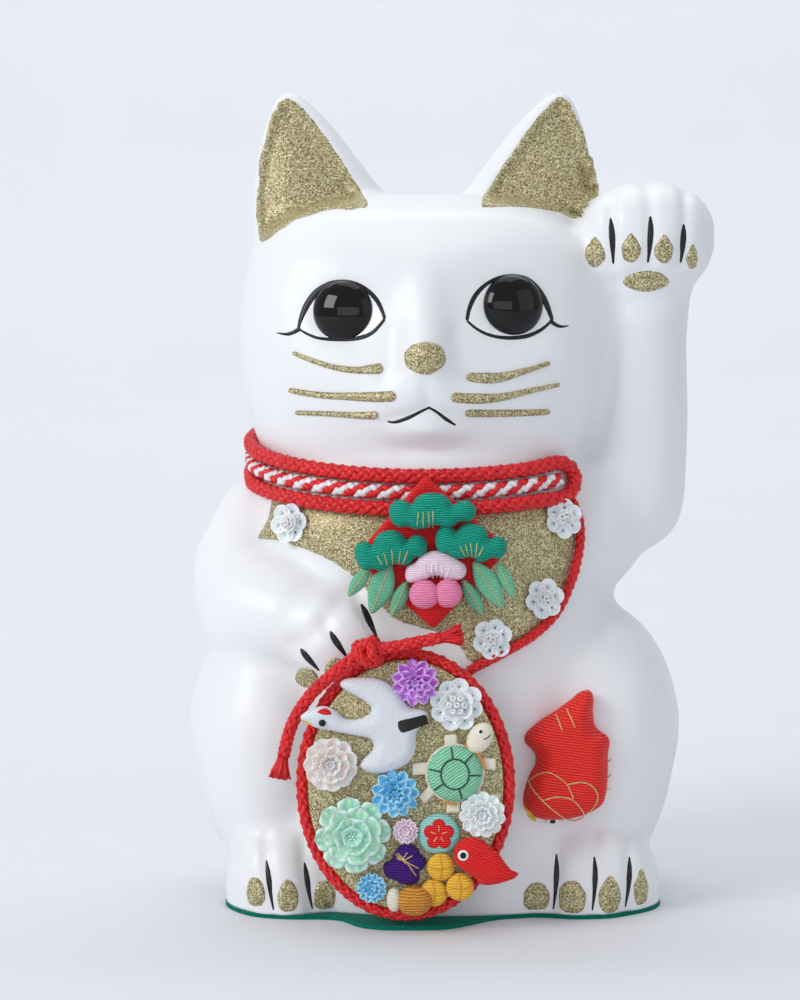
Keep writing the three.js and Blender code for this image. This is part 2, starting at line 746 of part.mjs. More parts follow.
// Round ornaments: name, x, y, radius, height, petals, finish, lift off the board's face.
const boardFlowers = [
  ['dahlia_purple', 3, 33, 6.8, 5.2, 8, 'purple_resin', 0],
  ['sequin_flower_large', 15.6, 25.6, 7.2, 3.2, 6, 'sequin', 0],
  ['dahlia_peach', -21.4, 6.6, 7.6, 5.2, 8, 'peach_resin', 0],
  ['dahlia_blue', -2.6, -2.6, 6.9, 5.2, 8, 'blue_resin', 0],
  ['rose_mint', -15.6, -15.4, 10.8, 7.5, 7, 'mint_resin', 0],
  ['mum_pink', 0.4, -13.9, 3.9, 3.4, 8, 'pink_resin', 0],
  ['dahlia_white', 22.6, -9.6, 6.2, 5, 8, 'white_resin', 0],
  ['mum_blue', -9, -30.4, 4.3, 3.6, 8, 'blue_resin', 0],
];

const coins = [[10.6, -24.3, 0], [15.4, -31.2, 0.4], [7.6, -33, 2.6]];

// ---------------------------------------------------------------- assembly

const cat = new THREE.Group();

function add(name, geometry, finishName, parent = cat) {
  const mesh = new THREE.Mesh(geometry, finish(finishName));
  mesh.name = name;
  parent.add(mesh);
  return mesh;
}

function addBody() {
  add('body_casting', surface(casting()), 'pearl_white');
  add('base_felt', felt(), 'felt_green');
  add('eye_left', eyeShape(-1, 0), 'eye_glass');
  add('eye_right', eyeShape(1, 0), 'eye_glass');
}

function addCollarAndBib() {
  add('collar_cord_red', surface(solid(redCollar()).subtract(skin)), 'red_cord');
  add('collar_cord_striped', surface(solid(stripedCollar()).subtract(skin)), 'striped_cord');
  add('bib_panel', surface(bib()), 'gold_glitter');
  add('bib_edge_cord', surface(solid(bibEdge()).subtract(skin)), 'red_cord');
  const flowers = [[-44.5, -1.8], [41.4, -1.2], [35.2, -23.6], [19.2, -34.6]];
  flowers.forEach(([x, down], i) => {
    const flower = blossom(sequinFlowerSize / 2, 2.6, 6, 0.16);
    const name = `sequin_flower_${i + 1}`;
    add(name, onTorso(flower, x, bibTop + down, 2 * gap + bibThickness + 0.5), 'sequin');
  });
}

function addChestMotif() {
  const low = patchThickness + gap;
  const top = low + leafThickness + gap;
  const pads = [
    ['pine_pad_top', 0, 13.6, 27.6, 11.4, 0, 'green_crepe'],
    ['pine_pad_left', -12.9, 1.2, 22.6, 11.6, 0.16, 'green_crepe'],
    ['pine_pad_right', 12.3, 1.9, 22.4, 11.6, -0.16, 'green_crepe'],
    ['plum_crown', 0.4, -5, 18.6, 10, 0, 'pale_pink_crepe'],
  ];
  pads.forEach(([name, x, up, width, height, turn, finishName], i) => {
    const geometry = pad(pine(width, height), padThickness, 0.9).rotateZ(turn);
    add(name, onChest(geometry, x, up, top + (i === 3 ? padThickness + gap : 0)), finishName);
  });
  const petals = [['plum_petal_left', -2.8], ['plum_petal_right', 5.2]];
  petals.forEach(([name, x]) => {
    add(name, onChest(pad(oval(3.8, 4, 14), 3.2, 0.9), x, -12.6, top + 0.4), 'pink_crepe');
  });
  const leaves = [
    [-22.9, -8.2, -0.6, 10, 4], [-16.6, -10.4, -0.4, 17.5, 6.6], [-10.6, -14.4, -0.32, 11.6, 4.2],
    [12.4, -13, 0.55, 12.3, 4.4], [17.4, -9.8, 0.56, 16.5, 6], [22.6, -7.6, 0.49, 12.5, 4.4],
  ];
  leaves.forEach(([x, up, turn, length, width], i) => {
    const geometry = pad(leaf(length, width), leafThickness, 0.5).rotateZ(turn);
    add(`bamboo_leaf_${i + 1}`, onChest(geometry, x, up, low), 'leaf_crepe');
  });
  add('diamond_patch', onChest(patch(), 0, 0, 0), 'red_crepe');
}

function addBoard() {
  placeBoard();
  cat.add(board);
  add('plaque_board', pad(oval(boardWidth / 2, boardHeight / 2, 32), boardThickness, 1.5), 'gold_glitter', board);
  add('plaque_edge_cord', boardLoop(), 'red_cord', board);
  add('plaque_knot', surface(knot()), 'red_cord', board);
  add('tail_cord_right', tailCord(rightTailRoute), 'red_cord', board);
  add('tail_cord_left', tailCord(leftTailRoute), 'red_cord', board);
  const face = boardFace + gap;
  boardFlowers.forEach(([name, x, y, radius, height, petals, finishName, lift]) => {
    add(name, blossom(radius, height, petals).translate(x, y, face + lift), finishName, board);
  });
  const motifs = [
    ['crane', crane(), 5.6, 'white_crepe'],
    ['turtle_limbs', turtleLimbs(), 0, 'cream_crepe'],
    ['turtle_shell', blossom(8, 4.6, 6, 0).translate(15.2, 4, 0), 1.6 + gap, 'mint_crepe'],
    ['turtle_head', pad(oval(3.6, 4.4, 14), 3.6, 1).rotateZ(-0.6).translate(23.4, 16, 0), 0, 'cream_crepe'],
    ['emblem_disc', pad(oval(5.8, 5.8, 18), 2, 0.5).translate(10.6, -14.6, 0), 0, 'aqua_crepe'],
    ['pouch', pad(oval(5.4, 5.2, 14), 4.2, 1.2).translate(0.2, -23.4, 0), 0, 'purple_crepe'],
    ['fish_small', smallFish(), 3, 'red_crepe'],
  ];
  motifs.forEach(([name, geometry, lift, finishName]) => {
    add(name, geometry.translate(0, 0, face + lift), finishName, board);
  });
  coins.forEach(([x, y, lift], i) => {
    add(`coin_${i + 1}`, pad(oval(4, 4, 14), 2.2, 0.5).translate(x, y, face + lift), 'yellow_crepe', board);
  });
  const barrel = new THREE.CylinderGeometry(3.5, 3.5, 6.2, 14).rotateZ(Math.PI / 2);
  add('mallet_barrel', barrel.translate(0.1, -34.2, face + 3.6), 'brown_crepe', board);
  const end = new THREE.CylinderGeometry(3.1, 3.1, 1, 14).rotateZ(Math.PI / 2);
  add('mallet_end', end.translate(-3.9, -34.2, face + 3.6), 'white_crepe', board);
}

addBody();
addCollarAndBib();
addChestMotif();
addBoard();
add('plush_fish', surface(plush()), 'red_crepe');

export default cat;
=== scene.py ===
"""The looks of a beckoning cat figurine: a satin pearl casting dressed with a glitter bib, braided cords,
stuffed crepe motifs, and an oval board of crepe and resin ornaments. Lengths are written in millimetres
and turned to metres by MM; the cat faces -Y and +Z is up."""
import math
import random

import bmesh
import bpy
import numpy as np
from mathutils import Matrix, Vector
from mathutils.bvhtree import BVHTree


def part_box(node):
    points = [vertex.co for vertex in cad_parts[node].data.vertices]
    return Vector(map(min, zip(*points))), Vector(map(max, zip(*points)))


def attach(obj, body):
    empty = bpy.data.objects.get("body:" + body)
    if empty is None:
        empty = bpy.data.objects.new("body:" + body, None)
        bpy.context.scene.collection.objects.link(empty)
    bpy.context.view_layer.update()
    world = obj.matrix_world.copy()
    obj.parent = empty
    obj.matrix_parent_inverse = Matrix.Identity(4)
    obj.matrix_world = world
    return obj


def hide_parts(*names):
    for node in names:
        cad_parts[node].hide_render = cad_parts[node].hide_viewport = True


MM = 0.001
TAU = 2 * math.pi
FRONT = Vector((0, -1, 0))
UP = Vector((0, 0, 1))

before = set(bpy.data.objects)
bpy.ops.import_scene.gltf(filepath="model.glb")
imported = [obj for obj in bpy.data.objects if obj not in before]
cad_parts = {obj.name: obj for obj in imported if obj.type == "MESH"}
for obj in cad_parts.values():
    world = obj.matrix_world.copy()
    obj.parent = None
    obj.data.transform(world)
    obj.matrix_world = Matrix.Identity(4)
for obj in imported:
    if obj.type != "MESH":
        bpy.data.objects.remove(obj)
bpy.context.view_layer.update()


def mm(x, y, z):
    return Vector((x, y, z)) * MM


def middle(node):
    low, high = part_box(node)
    return (low + high) / 2


def srgb(*color):
    """A colour as a painter reads it, 0 to 255, turned to the light values that a shader takes."""
    return tuple(((c / 255 + 0.055) / 1.055) ** 2.4 if c > 10 else c / 255 / 12.92 for c in color)


class Plane:
    """A flat working face: u to the right, v up it and w out of it, in millimetres times its scale."""

    def __init__(self, origin, lean=0.0, scale=1.0):
        self.origin = origin
        self.unit = scale * MM
        self.right = Vector((1, 0, 0))
        self.up = Vector((0, math.sin(lean), math.cos(lean)))
        self.out = self.right.cross(self.up)

    def at(self, u, v, w):
        return self.origin + (self.right * u + self.up * v + self.out * w) * self.unit

    def matrix(self, u=0, v=0, w=0, turn=0.0):
        """Takes a shape made in millimetres round its own origin to its place on the face."""
        basis = Matrix((self.right, self.up, self.out)).transposed().to_4x4()
        place = Matrix.Translation(self.at(u, v, w)) @ basis @ Matrix.Scale(self.unit, 4)
        return place @ Matrix.Rotation(turn, 4, "Z")


def board_plane():
    lean = math.radians(4.5)
    thickness = 6
    face = Plane(middle("plaque_board"), lean, 0.97)
    face.origin = face.at(0, 0, -thickness / 2)
    return face


def chest_plane():
    low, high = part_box("diamond_patch")
    return Plane(Vector((0, high.y, (low.z + high.z) / 2)))


BOARD = board_plane()
CHEST = chest_plane()


# ---------------------------------------------------------------- shader kit


class Value:
    """A number socket of a material that is being built; arithmetic on it adds Math nodes."""

    def __init__(self, paint, socket):
        self.paint = paint
        self.socket = socket

    def math(self, operation, *others, clamp=False):
        node = self.paint.tree.nodes.new("ShaderNodeMath")
        node.operation = operation
        node.use_clamp = clamp
        for slot, item in zip(node.inputs, (self, *others)):
            self.paint.plug(slot, item)
        return Value(self.paint, node.outputs[0])

    def __add__(self, other):
        return self.math("ADD", other)

    def __sub__(self, other):
        return self.math("SUBTRACT", other)

    def __mul__(self, other):
        return self.math("MULTIPLY", other)

    def __truediv__(self, other):
        return self.math("DIVIDE", other)

    def __rsub__(self, other):
        return self.math("MULTIPLY_ADD", -1.0, other)

    __radd__ = __add__
    __rmul__ = __mul__


class Paint:
    """A node material on one Principled shader."""

    def __init__(self, name, **sockets):
        self.material = bpy.data.materials.new(name)
        self.material.use_nodes = True
        self.tree = self.material.node_tree
        self.shader = self.tree.nodes["Principled BSDF"]
        for key, value in sockets.items():
            self.plug(self.shader.inputs[key.replace("_", " ")], value)

    def plug(self, slot, item):
        if isinstance(item, Value):
            item = item.socket
        if isinstance(item, bpy.types.NodeSocket):
            self.tree.links.new(item, slot)
        elif isinstance(item, tuple) and len(item) == 3 and slot.type == "RGBA":
            slot.default_value = (*item, 1)
        else:
            slot.default_value = item

    def node(self, kind, output=0, settings=None, **inputs):
        node = self.tree.nodes.new("ShaderNode" + kind)
        for key, value in (settings or {}).items():
            setattr(node, key, value)
        for key, value in inputs.items():
            slot = node.inputs[int(key[1:])] if key[1:].isdigit() else node.inputs[key.replace("_", " ")]
            self.plug(slot, value)
        out = node.outputs[output]
        return Value(self, out) if out.type == "VALUE" else out

    def place(self, turn=(0, 0, 0)):
        return self.node("Mapping", Vector=self.node("TexCoord", "Object"), Rotation=turn)

    def noise(self, scale, detail, at=None, rough=0.5, output="Fac"):
        at = at or self.place()
        return self.node("TexNoise", output, Vector=at, Scale=scale, Detail=detail, Roughness=rough)

    def mix(self, factor, first, second):
        return self.node("Mix", 2, {"data_type": "RGBA"}, i0=factor, i6=first, i7=second)

    def ramp(self, factor, *stops):
        node = self.tree.nodes.new("ShaderNodeValToRGB")
        self.plug(node.inputs[0], factor)
        points = node.color_ramp.elements
        while len(points) < len(stops):
            points.new(0.5)
        for point, (position, color) in zip(points, stops):
            point.position = position
            point.color = (*color, 1)
        return node.outputs[0]

    def bump(self, height, distance, strength=1.0):
        return self.node("Bump", Height=height, Distance=distance * MM, Strength=strength)

    def set(self, **links):
        for key, value in links.items():
            self.plug(self.shader.inputs[key.replace("_", " ")], value)
        return self.material


def per_mm(count):
    return count / MM


# ---------------------------------------------------------------- finishes


def pearl_glaze():
    paint = Paint("pearl_glaze", Coat_Weight=0.18, Coat_Roughness=0.2, Specular_IOR_Level=0.4)
    cloud = paint.noise(per_mm(0.03), 3)
    color = paint.mix(cloud, (0.80, 0.815, 0.845), (0.87, 0.88, 0.90))
    rough = paint.noise(per_mm(0.2), 3) * 0.12 + 0.41
    height = paint.noise(per_mm(0.12), 4)
    return paint.set(Base_Color=color, Roughness=rough, Normal=paint.bump(height, 0.12, 0.5))


def lacquer_strokes():
    paint = Paint("black_lacquer", Coat_Weight=0.1, Coat_Roughness=0.15, Specular_IOR_Level=0.3)
    streak = paint.noise(per_mm(0.9), 3)
    color = paint.ramp(streak, (0.4, (0.003, 0.003, 0.004)), (0.8, (0.03, 0.031, 0.036)))
    return paint.set(Base_Color=color, Roughness=streak * 0.2 + 0.22, Normal=paint.bump(streak, 0.05))


def eye_white():
    paint = Paint("eye_white", Coat_Weight=0.5, Coat_Roughness=0.08)
    cloud = paint.noise(per_mm(0.3), 2)
    color = paint.mix(cloud, (0.86, 0.87, 0.88), (0.92, 0.925, 0.93))
    return paint.set(Base_Color=color, Roughness=cloud * 0.1 + 0.25)


def black_glass():
    paint = Paint("black_glass", Coat_Weight=0.35, Coat_Roughness=0.02, Specular_IOR_Level=0.2)
    depth = paint.noise(per_mm(0.2), 2)
    color = paint.mix(depth, (0.001, 0.001, 0.0015), (0.003, 0.003, 0.004))
    return paint.set(Base_Color=color, Roughness=depth * 0.03 + 0.03)


def glitter(name, dark, body, bright, grain):
    """Foil flakes in binder: each cell has its own tint, tilt and polish; the palest flakes are painted
    glints and the darkest painted shade.
    """
    paint = Paint(name, Specular_IOR_Level=0.6)
    at = paint.place()
    flake = paint.node("TexVoronoi", "Color", Vector=at, Scale=per_mm(grain))
    fine = paint.node("TexVoronoi", "Color", Vector=at, Scale=per_mm(grain * 1.7))
    pick = paint.node("SeparateColor", 0, Color=flake)
    pick_fine = paint.node("SeparateColor", 1, Color=fine)
    shade = pick * 0.6 + pick_fine * 0.4
    # the flake tint differs at random; the bright stop stands for painted glints and the dark stop for
    # painted shade on flakes turned from the light
    color = paint.ramp(shade, (0.18, dark), (0.5, body), (0.84, bright))
    height = pick + pick_fine * 0.6 + paint.noise(per_mm(1.1), 2) * 0.8
    sunk = paint.bump(height, 0.2, 0.8)
    metal = pick_fine.math("GREATER_THAN", 0.55) * 0.6
    rough = pick * 0.35 + 0.22
    return paint.set(Base_Color=color, Roughness=rough, Metallic=metal, Normal=sunk)


def silk_cord(name, deep, color, bright):
    """Shiny rayon strands; the fine plies run round each strand."""
    paint = Paint(name, Sheen_Weight=0.02, Sheen_Roughness=0.4, Specular_IOR_Level=0.5)
    fine = paint.noise(per_mm(2.4), 3)
    broad = paint.noise(per_mm(0.35), 2)
    tone = paint.ramp(fine * 0.7 + broad * 0.3, (0.3, deep), (0.52, color), (0.75, bright))
    return paint.set(Base_Color=tone, Roughness=fine * 0.2 + 0.26, Normal=paint.bump(fine, 0.12, 0.7))


def crepe(name, deep, color, bright, turn=0.0, ripple=1.45, depth=0.16):
    """Crepe silk: short uneven ripples across the weave, over fine threads; the ripple troughs are painted
    darker as painted shade and the crests lighter as painted highlight.
    """
    paint = Paint(name, Sheen_Weight=0.06, Sheen_Roughness=0.45, Specular_IOR_Level=0.2)
    at = paint.place(turn=(0, turn, 0))
    wander = paint.noise(per_mm(0.45), 2, at, output="Color")
    drift = paint.node("VectorMath", 0, {"operation": "SCALE"}, i0=wander, Scale=0.9 * MM)
    bent = paint.node("VectorMath", 0, {"operation": "ADD"}, i0=at, i1=drift)
    wave = paint.node(
        "TexWave", "Fac", {"bands_direction": "Z"}, Vector=bent, Scale=per_mm(ripple) * TAU / 20,
        Distortion=2.0, Detail=2.0, Detail_Scale=1.2,
    )
    thread = paint.noise(per_mm(3.5), 2, at)
    # the tone follows the ripple wave that also makes the bump: the deep stop is painted shade in the
    # troughs, the bright stop a painted highlight on the crests; the thread noise adds random tone
    tone = paint.ramp(wave * 0.55 + thread * 0.45, (0.15, deep), (0.5, color), (0.9, bright))
    height = wave + thread * 0.5
    return paint.set(Base_Color=tone, Roughness=thread * 0.15 + 0.66, Normal=paint.bump(height, depth, 0.9))


def resin(name, deep, color, bright, soft=0.25):
    """Moulded resin: milky, with a soft shine; painted paler at the thin edges as painted light and darker in
    creases as painted shade.
    """
    paint = Paint(name, Subsurface_Weight=soft, Subsurface_Scale=2 * MM, Specular_IOR_Level=0.5)
    cloud = paint.noise(per_mm(0.5), 2)
    # Pointiness carries painted light: the deep stop is painted shade in concave creases between petals, the
    # bright stop painted light on convex thin edges; the cloud noise adds random tone
    edge = paint.node("NewGeometry", "Pointiness")
    tone = paint.ramp(cloud * 0.25 + edge * 1.0 - 0.125, (0.42, deep), (0.5, color), (0.6, bright))
    return paint.set(Base_Color=tone, Roughness=cloud * 0.12 + 0.3, Normal=paint.bump(cloud, 0.1, 0.5))


def sequin_film():
    """Pearl film: white with faint pink, blue and green patches painted in as its iridescent sheen."""
    paint = Paint("sequin_film", Coat_Weight=1.0, Coat_Roughness=0.05, Specular_IOR_Level=0.7,
                  Subsurface_Weight=0.3, Subsurface_Scale=1.5 * MM)
    patch = paint.noise(per_mm(0.28), 1)
    # the tinted patches are painted iridescent sheen, fixed in place on the film
    tone = paint.ramp(
        patch, (0.3, (0.92, 0.86, 0.99)), (0.42, (0.97, 0.97, 0.99)), (0.5, (0.99, 0.99, 0.98)),
        (0.6, (0.90, 0.97, 0.99)), (0.7, (0.99, 0.92, 0.96)),
    )
    return paint.set(Base_Color=tone, Roughness=patch * 0.15 + 0.1, Normal=paint.bump(patch, 0.1, 0.4))


def clear_bead():
    paint = Paint("clear_bead", Transmission_Weight=0.25, IOR=1.5, Coat_Weight=1.0, Coat_Roughness=0.03)
    patch = paint.noise(per_mm(0.5), 1)
    tone = paint.mix(patch, (0.93, 0.94, 0.97), (0.99, 0.99, 0.99))
    return paint.set(Base_Color=tone, Roughness=patch * 0.1 + 0.05)


def green_felt():
    paint = Paint("green_felt", Sheen_Weight=0.04, Sheen_Roughness=0.6, Specular_IOR_Level=0.05)
    fibre = paint.noise(per_mm(1.6), 5, rough=0.7)
    tone = paint.ramp(fibre, (0.3, (0.0, 0.09, 0.06)), (0.6, (0.0, 0.2, 0.14)), (0.8, (0.02, 0.3, 0.2)))
    return paint.set(Base_Color=tone, Roughness=fibre * 0.1 + 0.85, Normal=paint.bump(fibre, 0.3))


def gold_thread():
    paint = Paint("gold_thread", Specular_IOR_Level=0.6, Sheen_Weight=0.2)
    ply = paint.noise(per_mm(3.0), 2)
    tone = paint.ramp(ply, (0.3, (0.36, 0.20, 0.04)), (0.5, (0.72, 0.48, 0.16)), (0.7, (0.95, 0.78, 0.42)))
    return paint.set(Base_Color=tone, Metallic=ply * 0.5, Roughness=ply * 0.2 + 0.3,
                     Normal=paint.bump(ply, 0.1))


def backdrop_paper():
    paint = Paint("backdrop_paper", Specular_IOR_Level=0.2)
    grain = paint.noise(per_mm(0.01), 3)
    return paint.set(Base_Color=paint.mix(grain, (0.73, 0.745, 0.785), (0.76, 0.775, 0.81)), Roughness=0.9)


RED = ((0.34, 0.001, 0.003), (0.74, 0.006, 0.012), (0.95, 0.06, 0.05))
PEARL = pearl_glaze()
BLACK = lacquer_strokes()
# the dark stop is painted flake shade, the bright near-white stop painted flake glint, around the gold body
# tint
GLITTER = glitter("gold_glitter", (0.14, 0.10, 0.035), (0.46, 0.38, 0.16), (0.98, 0.93, 0.66), 3.0)
RED_CORD = silk_cord("red_cord", *RED)
WHITE_CORD = silk_cord("white_cord", (0.55, 0.55, 0.60), (0.84, 0.84, 0.87), (0.97, 0.97, 0.98))
GOLD = gold_thread()

# ---------------------------------------------------------------- mesh kit


def linked(name, data):
    """A new object in the scene."""
    obj = bpy.data.objects.new(name, data)
    bpy.context.scene.collection.objects.link(obj)
    return obj


def mesh_of(bm, name):
    mesh = bpy.data.meshes.new(name)
    bm.to_mesh(mesh)
    bm.free()
    return mesh


def everything(bm):
    return bm.verts[:] + bm.edges[:] + bm.faces[:]


def verts_of(geometry):
    return [item for item in geometry if isinstance(item, bmesh.types.BMVert)]


def piece(name, bm, material, slot, replaces=(), smooth=True):
    """Turns a bmesh into a finished piece that rides on the cat."""
    bmesh.ops.remove_doubles(bm, verts=bm.verts, dist=1e-6)
    bmesh.ops.recalc_face_normals(bm, faces=bm.faces)
    obj = linked(name, mesh_of(bm, name))
    if material:
        obj.data.materials.append(material)
    if smooth:
        obj.data.shade_smooth()
    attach(obj, "root")
    if replaces:
        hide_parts(*replaces)
    return obj


def applied(obj, store):
    """A copy of the final mesh; the object is removed, and its data from their store."""
    bpy.context.view_layer.update()
    shape = obj.evaluated_get(bpy.context.evaluated_depsgraph_get())
    bm = bmesh.new()
    bm.from_mesh(shape.to_mesh())
    shape.to_mesh_clear()
    data = obj.data
    bpy.data.objects.remove(obj)
    store.remove(data)
    return bm


def remeshed(bm, voxel):
    """An even skin over every closed shell in the bmesh."""
    obj = linked("clay", mesh_of(bm, "clay"))
    modifier = obj.modifiers.new("skin", "REMESH")
    modifier.mode = "VOXEL"
    modifier.voxel_size = voxel
    return applied(obj, bpy.data.meshes)


def relax(bm, times, factor=0.5, verts=None):
    for _ in range(times):
        bmesh.ops.smooth_vert(bm, verts=verts or bm.verts, factor=factor,
                              use_axis_x=True, use_axis_y=True, use_axis_z=True)


def spline(points, steps, closed=False):
    """Points at even parameter steps along a smooth curve through the given points."""
    points = [Vector(p) for p in points]
    count = len(points)
    spans = count if closed else count - 1
    result = []
    for k in range(steps + (0 if closed else 1)):
        t = spans * k / steps
        i = min(int(t), spans - 1)
        f = t - i
        if closed:
            a, b, c, d = (points[(i + j) % count] for j in (-1, 0, 1, 2))
        else:
            a, b, c, d = (points[min(max(i + j, 0), count - 1)] for j in (-1, 0, 1, 2))
        result.append(0.5 * (2 * b + (c - a) * f + (2 * a - 5 * b + 4 * c - d) * f * f
                             + (3 * b - a - 3 * c + d) * f ** 3))
    return result


def resampled(points, step, closed=False):
    """The same line with its points an even distance apart."""
    line = points + points[:1] if closed else points
    lengths = [0.0]
    for a, b in zip(line, line[1:]):
        lengths.append(lengths[-1] + (b - a).length)
    count = max(3, round(lengths[-1] / step))
    result = []
    j = 0
    for k in range(count if closed else count + 1):
        want = lengths[-1] * k / count
        while j < len(lengths) - 2 and lengths[j + 1] < want:
            j += 1
        span = max(lengths[j + 1] - lengths[j], 1e-12)
        result.append(line[j].lerp(line[j + 1], (want - lengths[j]) / span))
    return result


def length_of(points):
    return sum((b - a).length for a, b in zip(points, points[1:]))


def tubes(lines, radius, roundness=0, closed=False):
    """Round threads along several lines, as one bmesh. A radius may be a list, one for each point."""
    data = bpy.data.curves.new("threads", "CURVE")
    data.dimensions = "3D"
    data.bevel_depth = 1.0
    data.bevel_resolution = roundness
    data.use_fill_caps = True
    for line in lines:
        run = data.splines.new("POLY")
        run.points.add(len(line) - 1)
        for k, point in enumerate(line):
            run.points[k].co = (*point, 1)
            run.points[k].radius = radius[k] if isinstance(radius, list) else radius
        run.use_cyclic_u = closed
    return applied(linked("threads", data), bpy.data.curves)


def joined(parts):
    """One bmesh holding several."""
    whole = bmesh.new()
    for part in parts:
        mesh = mesh_of(part, "part")
        whole.from_mesh(mesh)
        bpy.data.meshes.remove(mesh)
    return whole


def painted(bm, index):
    for face in bm.faces:
        face.material_index = index
    return bm


def flat_fill(outline, cell):
    """A flat sheet in local x and y inside an outline, cut into cells small enough to bend."""
    bm = bmesh.new()
    bm.faces.new([bm.verts.new((p[0], p[1], 0)) for p in outline])
    for axis in (0, 1):
        low = min(p[axis] for p in outline)
        high = max(p[axis] for p in outline)
        normal = (1, 0, 0) if axis == 0 else (0, 1, 0)
        for k in range(1, int((high - low) / cell) + 1):
            cut = (low + k * cell, 0, 0) if axis == 0 else (0, low + k * cell, 0)
            bmesh.ops.bisect_plane(bm, geom=everything(bm), dist=1e-9, plane_co=cut, plane_no=normal)
    bmesh.ops.triangulate(bm, faces=[f for f in bm.faces if len(f.verts) > 4])
    return bm


def edge_distance(outline):
    """A function that gives a point's distance from a closed outline."""
    a = np.array([(p[0], p[1]) for p in outline])
    b = np.roll(a, -1, axis=0)
    span = b - a
    square = np.maximum((span ** 2).sum(1), 1e-18)

    def distance(x, y):
        t = np.clip(((np.array((x, y)) - a) * span).sum(1) / square, 0, 1)
        near = a + span * t[:, None]
        return float(np.sqrt(((near - (x, y)) ** 2).sum(1).min()))

    return distance


# ---------------------------------------------------------------- camera, light and stage


def camera():
    """Almost level with the middle of the cat and a little above it."""
    view = bpy.data.cameras.new("camera")
    view.sensor_fit = "VERTICAL"
    half_view, reach = 162.15 * MM, 1050 * MM
    view.angle = 2 * math.atan(half_view / reach)
    obj = linked("camera", view)
    bpy.context.scene.camera = obj
    aim = mm(-9.7, 0, 125.3)
    tilt = math.radians(5)
    obj.location = aim + reach * Vector((0, -math.cos(tilt), math.sin(tilt)))
    obj.rotation_euler = (math.pi / 2 - tilt, 0, 0)


def lamp(name, place, aim, size, power, color=(1, 1, 1)):
    light = bpy.data.lights.new(name, "AREA")
    light.shape = "RECTANGLE"
    light.size = size[0]
    light.size_y = size[1]
    light.energy = power
    light.color = color
    obj = linked(name, light)
    obj.location = place
    obj.rotation_euler = (Vector(aim) - Vector(place)).to_track_quat("-Z", "Y").to_euler()


def studio():
    """A pale sweep, one big soft light at the left, a weaker fill, and pale surroundings."""
    bm = bmesh.new()
    reach = 3.0
    profile = [(-reach, 0), (0.9, 0), (1.15, 0.02), (1.4, 0.1), (1.6, 0.28), (1.7, 0.6), (1.72, 2.6)]
    verts = [bm.verts.new((-reach, y, z)) for y, z in profile]
    edges = [bm.edges.new(pair) for pair in zip(verts, verts[1:])]
    wide = bmesh.ops.extrude_edge_only(bm, edges=edges)["geom"]
    bmesh.ops.translate(bm, verts=verts_of(wide), vec=(2 * reach, 0, 0))
    bmesh.ops.recalc_face_normals(bm, faces=bm.faces)
    sweep = linked("sweep", mesh_of(bm, "sweep"))
    sweep.data.materials.append(backdrop_paper())
    sweep.data.shade_smooth()
    lamp("key", (-1.3, -0.9, 0.9), (0, 0, 0.12), (0.8, 0.8), 13.7, (1.0, 0.995, 0.98))
    lamp("fill", (1.4, -1.0, 0.6), (0, 0, 0.12), (1.2, 1.4), 2.6, (0.95, 0.97, 1.0))
    lamp("front", (-0.2, -1.6, 0.35), (0, 0, 0.08), (1.6, 0.5), 2.6, (1.0, 1.0, 1.0))
    lamp("top", (0.1, 0.2, 1.6), (0, 0, 0.1), (1.2, 1.2), 5)
    lamp("wall", (0, 0.7, 1.7), (0, 1.75, 0.4), (2.6, 0.5), 14.5)
    world = bpy.data.worlds.new("surroundings")
    bpy.context.scene.world = world
    world.use_nodes = True
    glow = world.node_tree.nodes["Background"].inputs
    glow["Color"].default_value = (0.90, 0.94, 1.0, 1)
    glow["Strength"].default_value = 0.47
    bpy.context.scene.view_settings.view_transform = "Standard"


# ---------------------------------------------------------------- braided cords and their free ends


def braid_lines(line, size, turn_length, closed):
    """The middle lines of a round braid's strands: half run one way round, half the other, over and under."""
    points = np.array(line)
    count = len(points)
    ahead = np.roll(points, -1, axis=0)
    behind = np.roll(points, 1, axis=0)
    if not closed:
        ahead[-1] = points[-1]
        behind[0] = points[0]
    tangents = ahead - behind
    tangents /= np.linalg.norm(tangents, axis=1)[:, None]
    first = np.cross(tangents[0], (0.0, 0.3, 1.0))
    sides = [first / np.linalg.norm(first)]
    for k in range(1, count):
        side = sides[-1] - tangents[k] * (sides[-1] @ tangents[k])
        sides.append(side / np.linalg.norm(side))
    sides = np.array(sides)
    ups = np.cross(tangents, sides)
    steps = np.linalg.norm(np.diff(points, axis=0), axis=1)
    along = np.concatenate(([0.0], np.cumsum(steps)))
    total = along[-1] + (np.linalg.norm(points[0] - points[-1]) if closed else 0.0)
    turns = max(1, round(total / (turn_length * MM))) if closed else total / (turn_length * MM)
    phase = TAU * turns * along / total
    half = 4
    middle_radius = size * 0.215 * MM
    weave = size * 0.095 * MM
    result = []
    for hand in (1, -1):
        for i in range(half):
            angle = hand * phase + TAU * i / half
            radius = middle_radius + hand * weave * np.cos(half * phase)
            spots = points + (sides * np.cos(angle)[:, None] + ups * np.sin(angle)[:, None]) * radius[:, None]
            result.append([Vector(spot) for spot in spots])
    return result


def braid(line, size, closed=False, turn_length=14.5, marked=()):
    """A braided cord along a line in metres; the marked strands take the second material."""
    strand = size * 0.195 * MM
    lines = braid_lines(line, size, turn_length, closed)
    plain = [run for k, run in enumerate(lines) if k not in marked]
    parts = [painted(tubes(plain, strand, 1, closed), 0)]
    if marked:
        parts.append(painted(tubes([lines[k] for k in marked], strand, 1, closed), 1))
    return joined(parts)


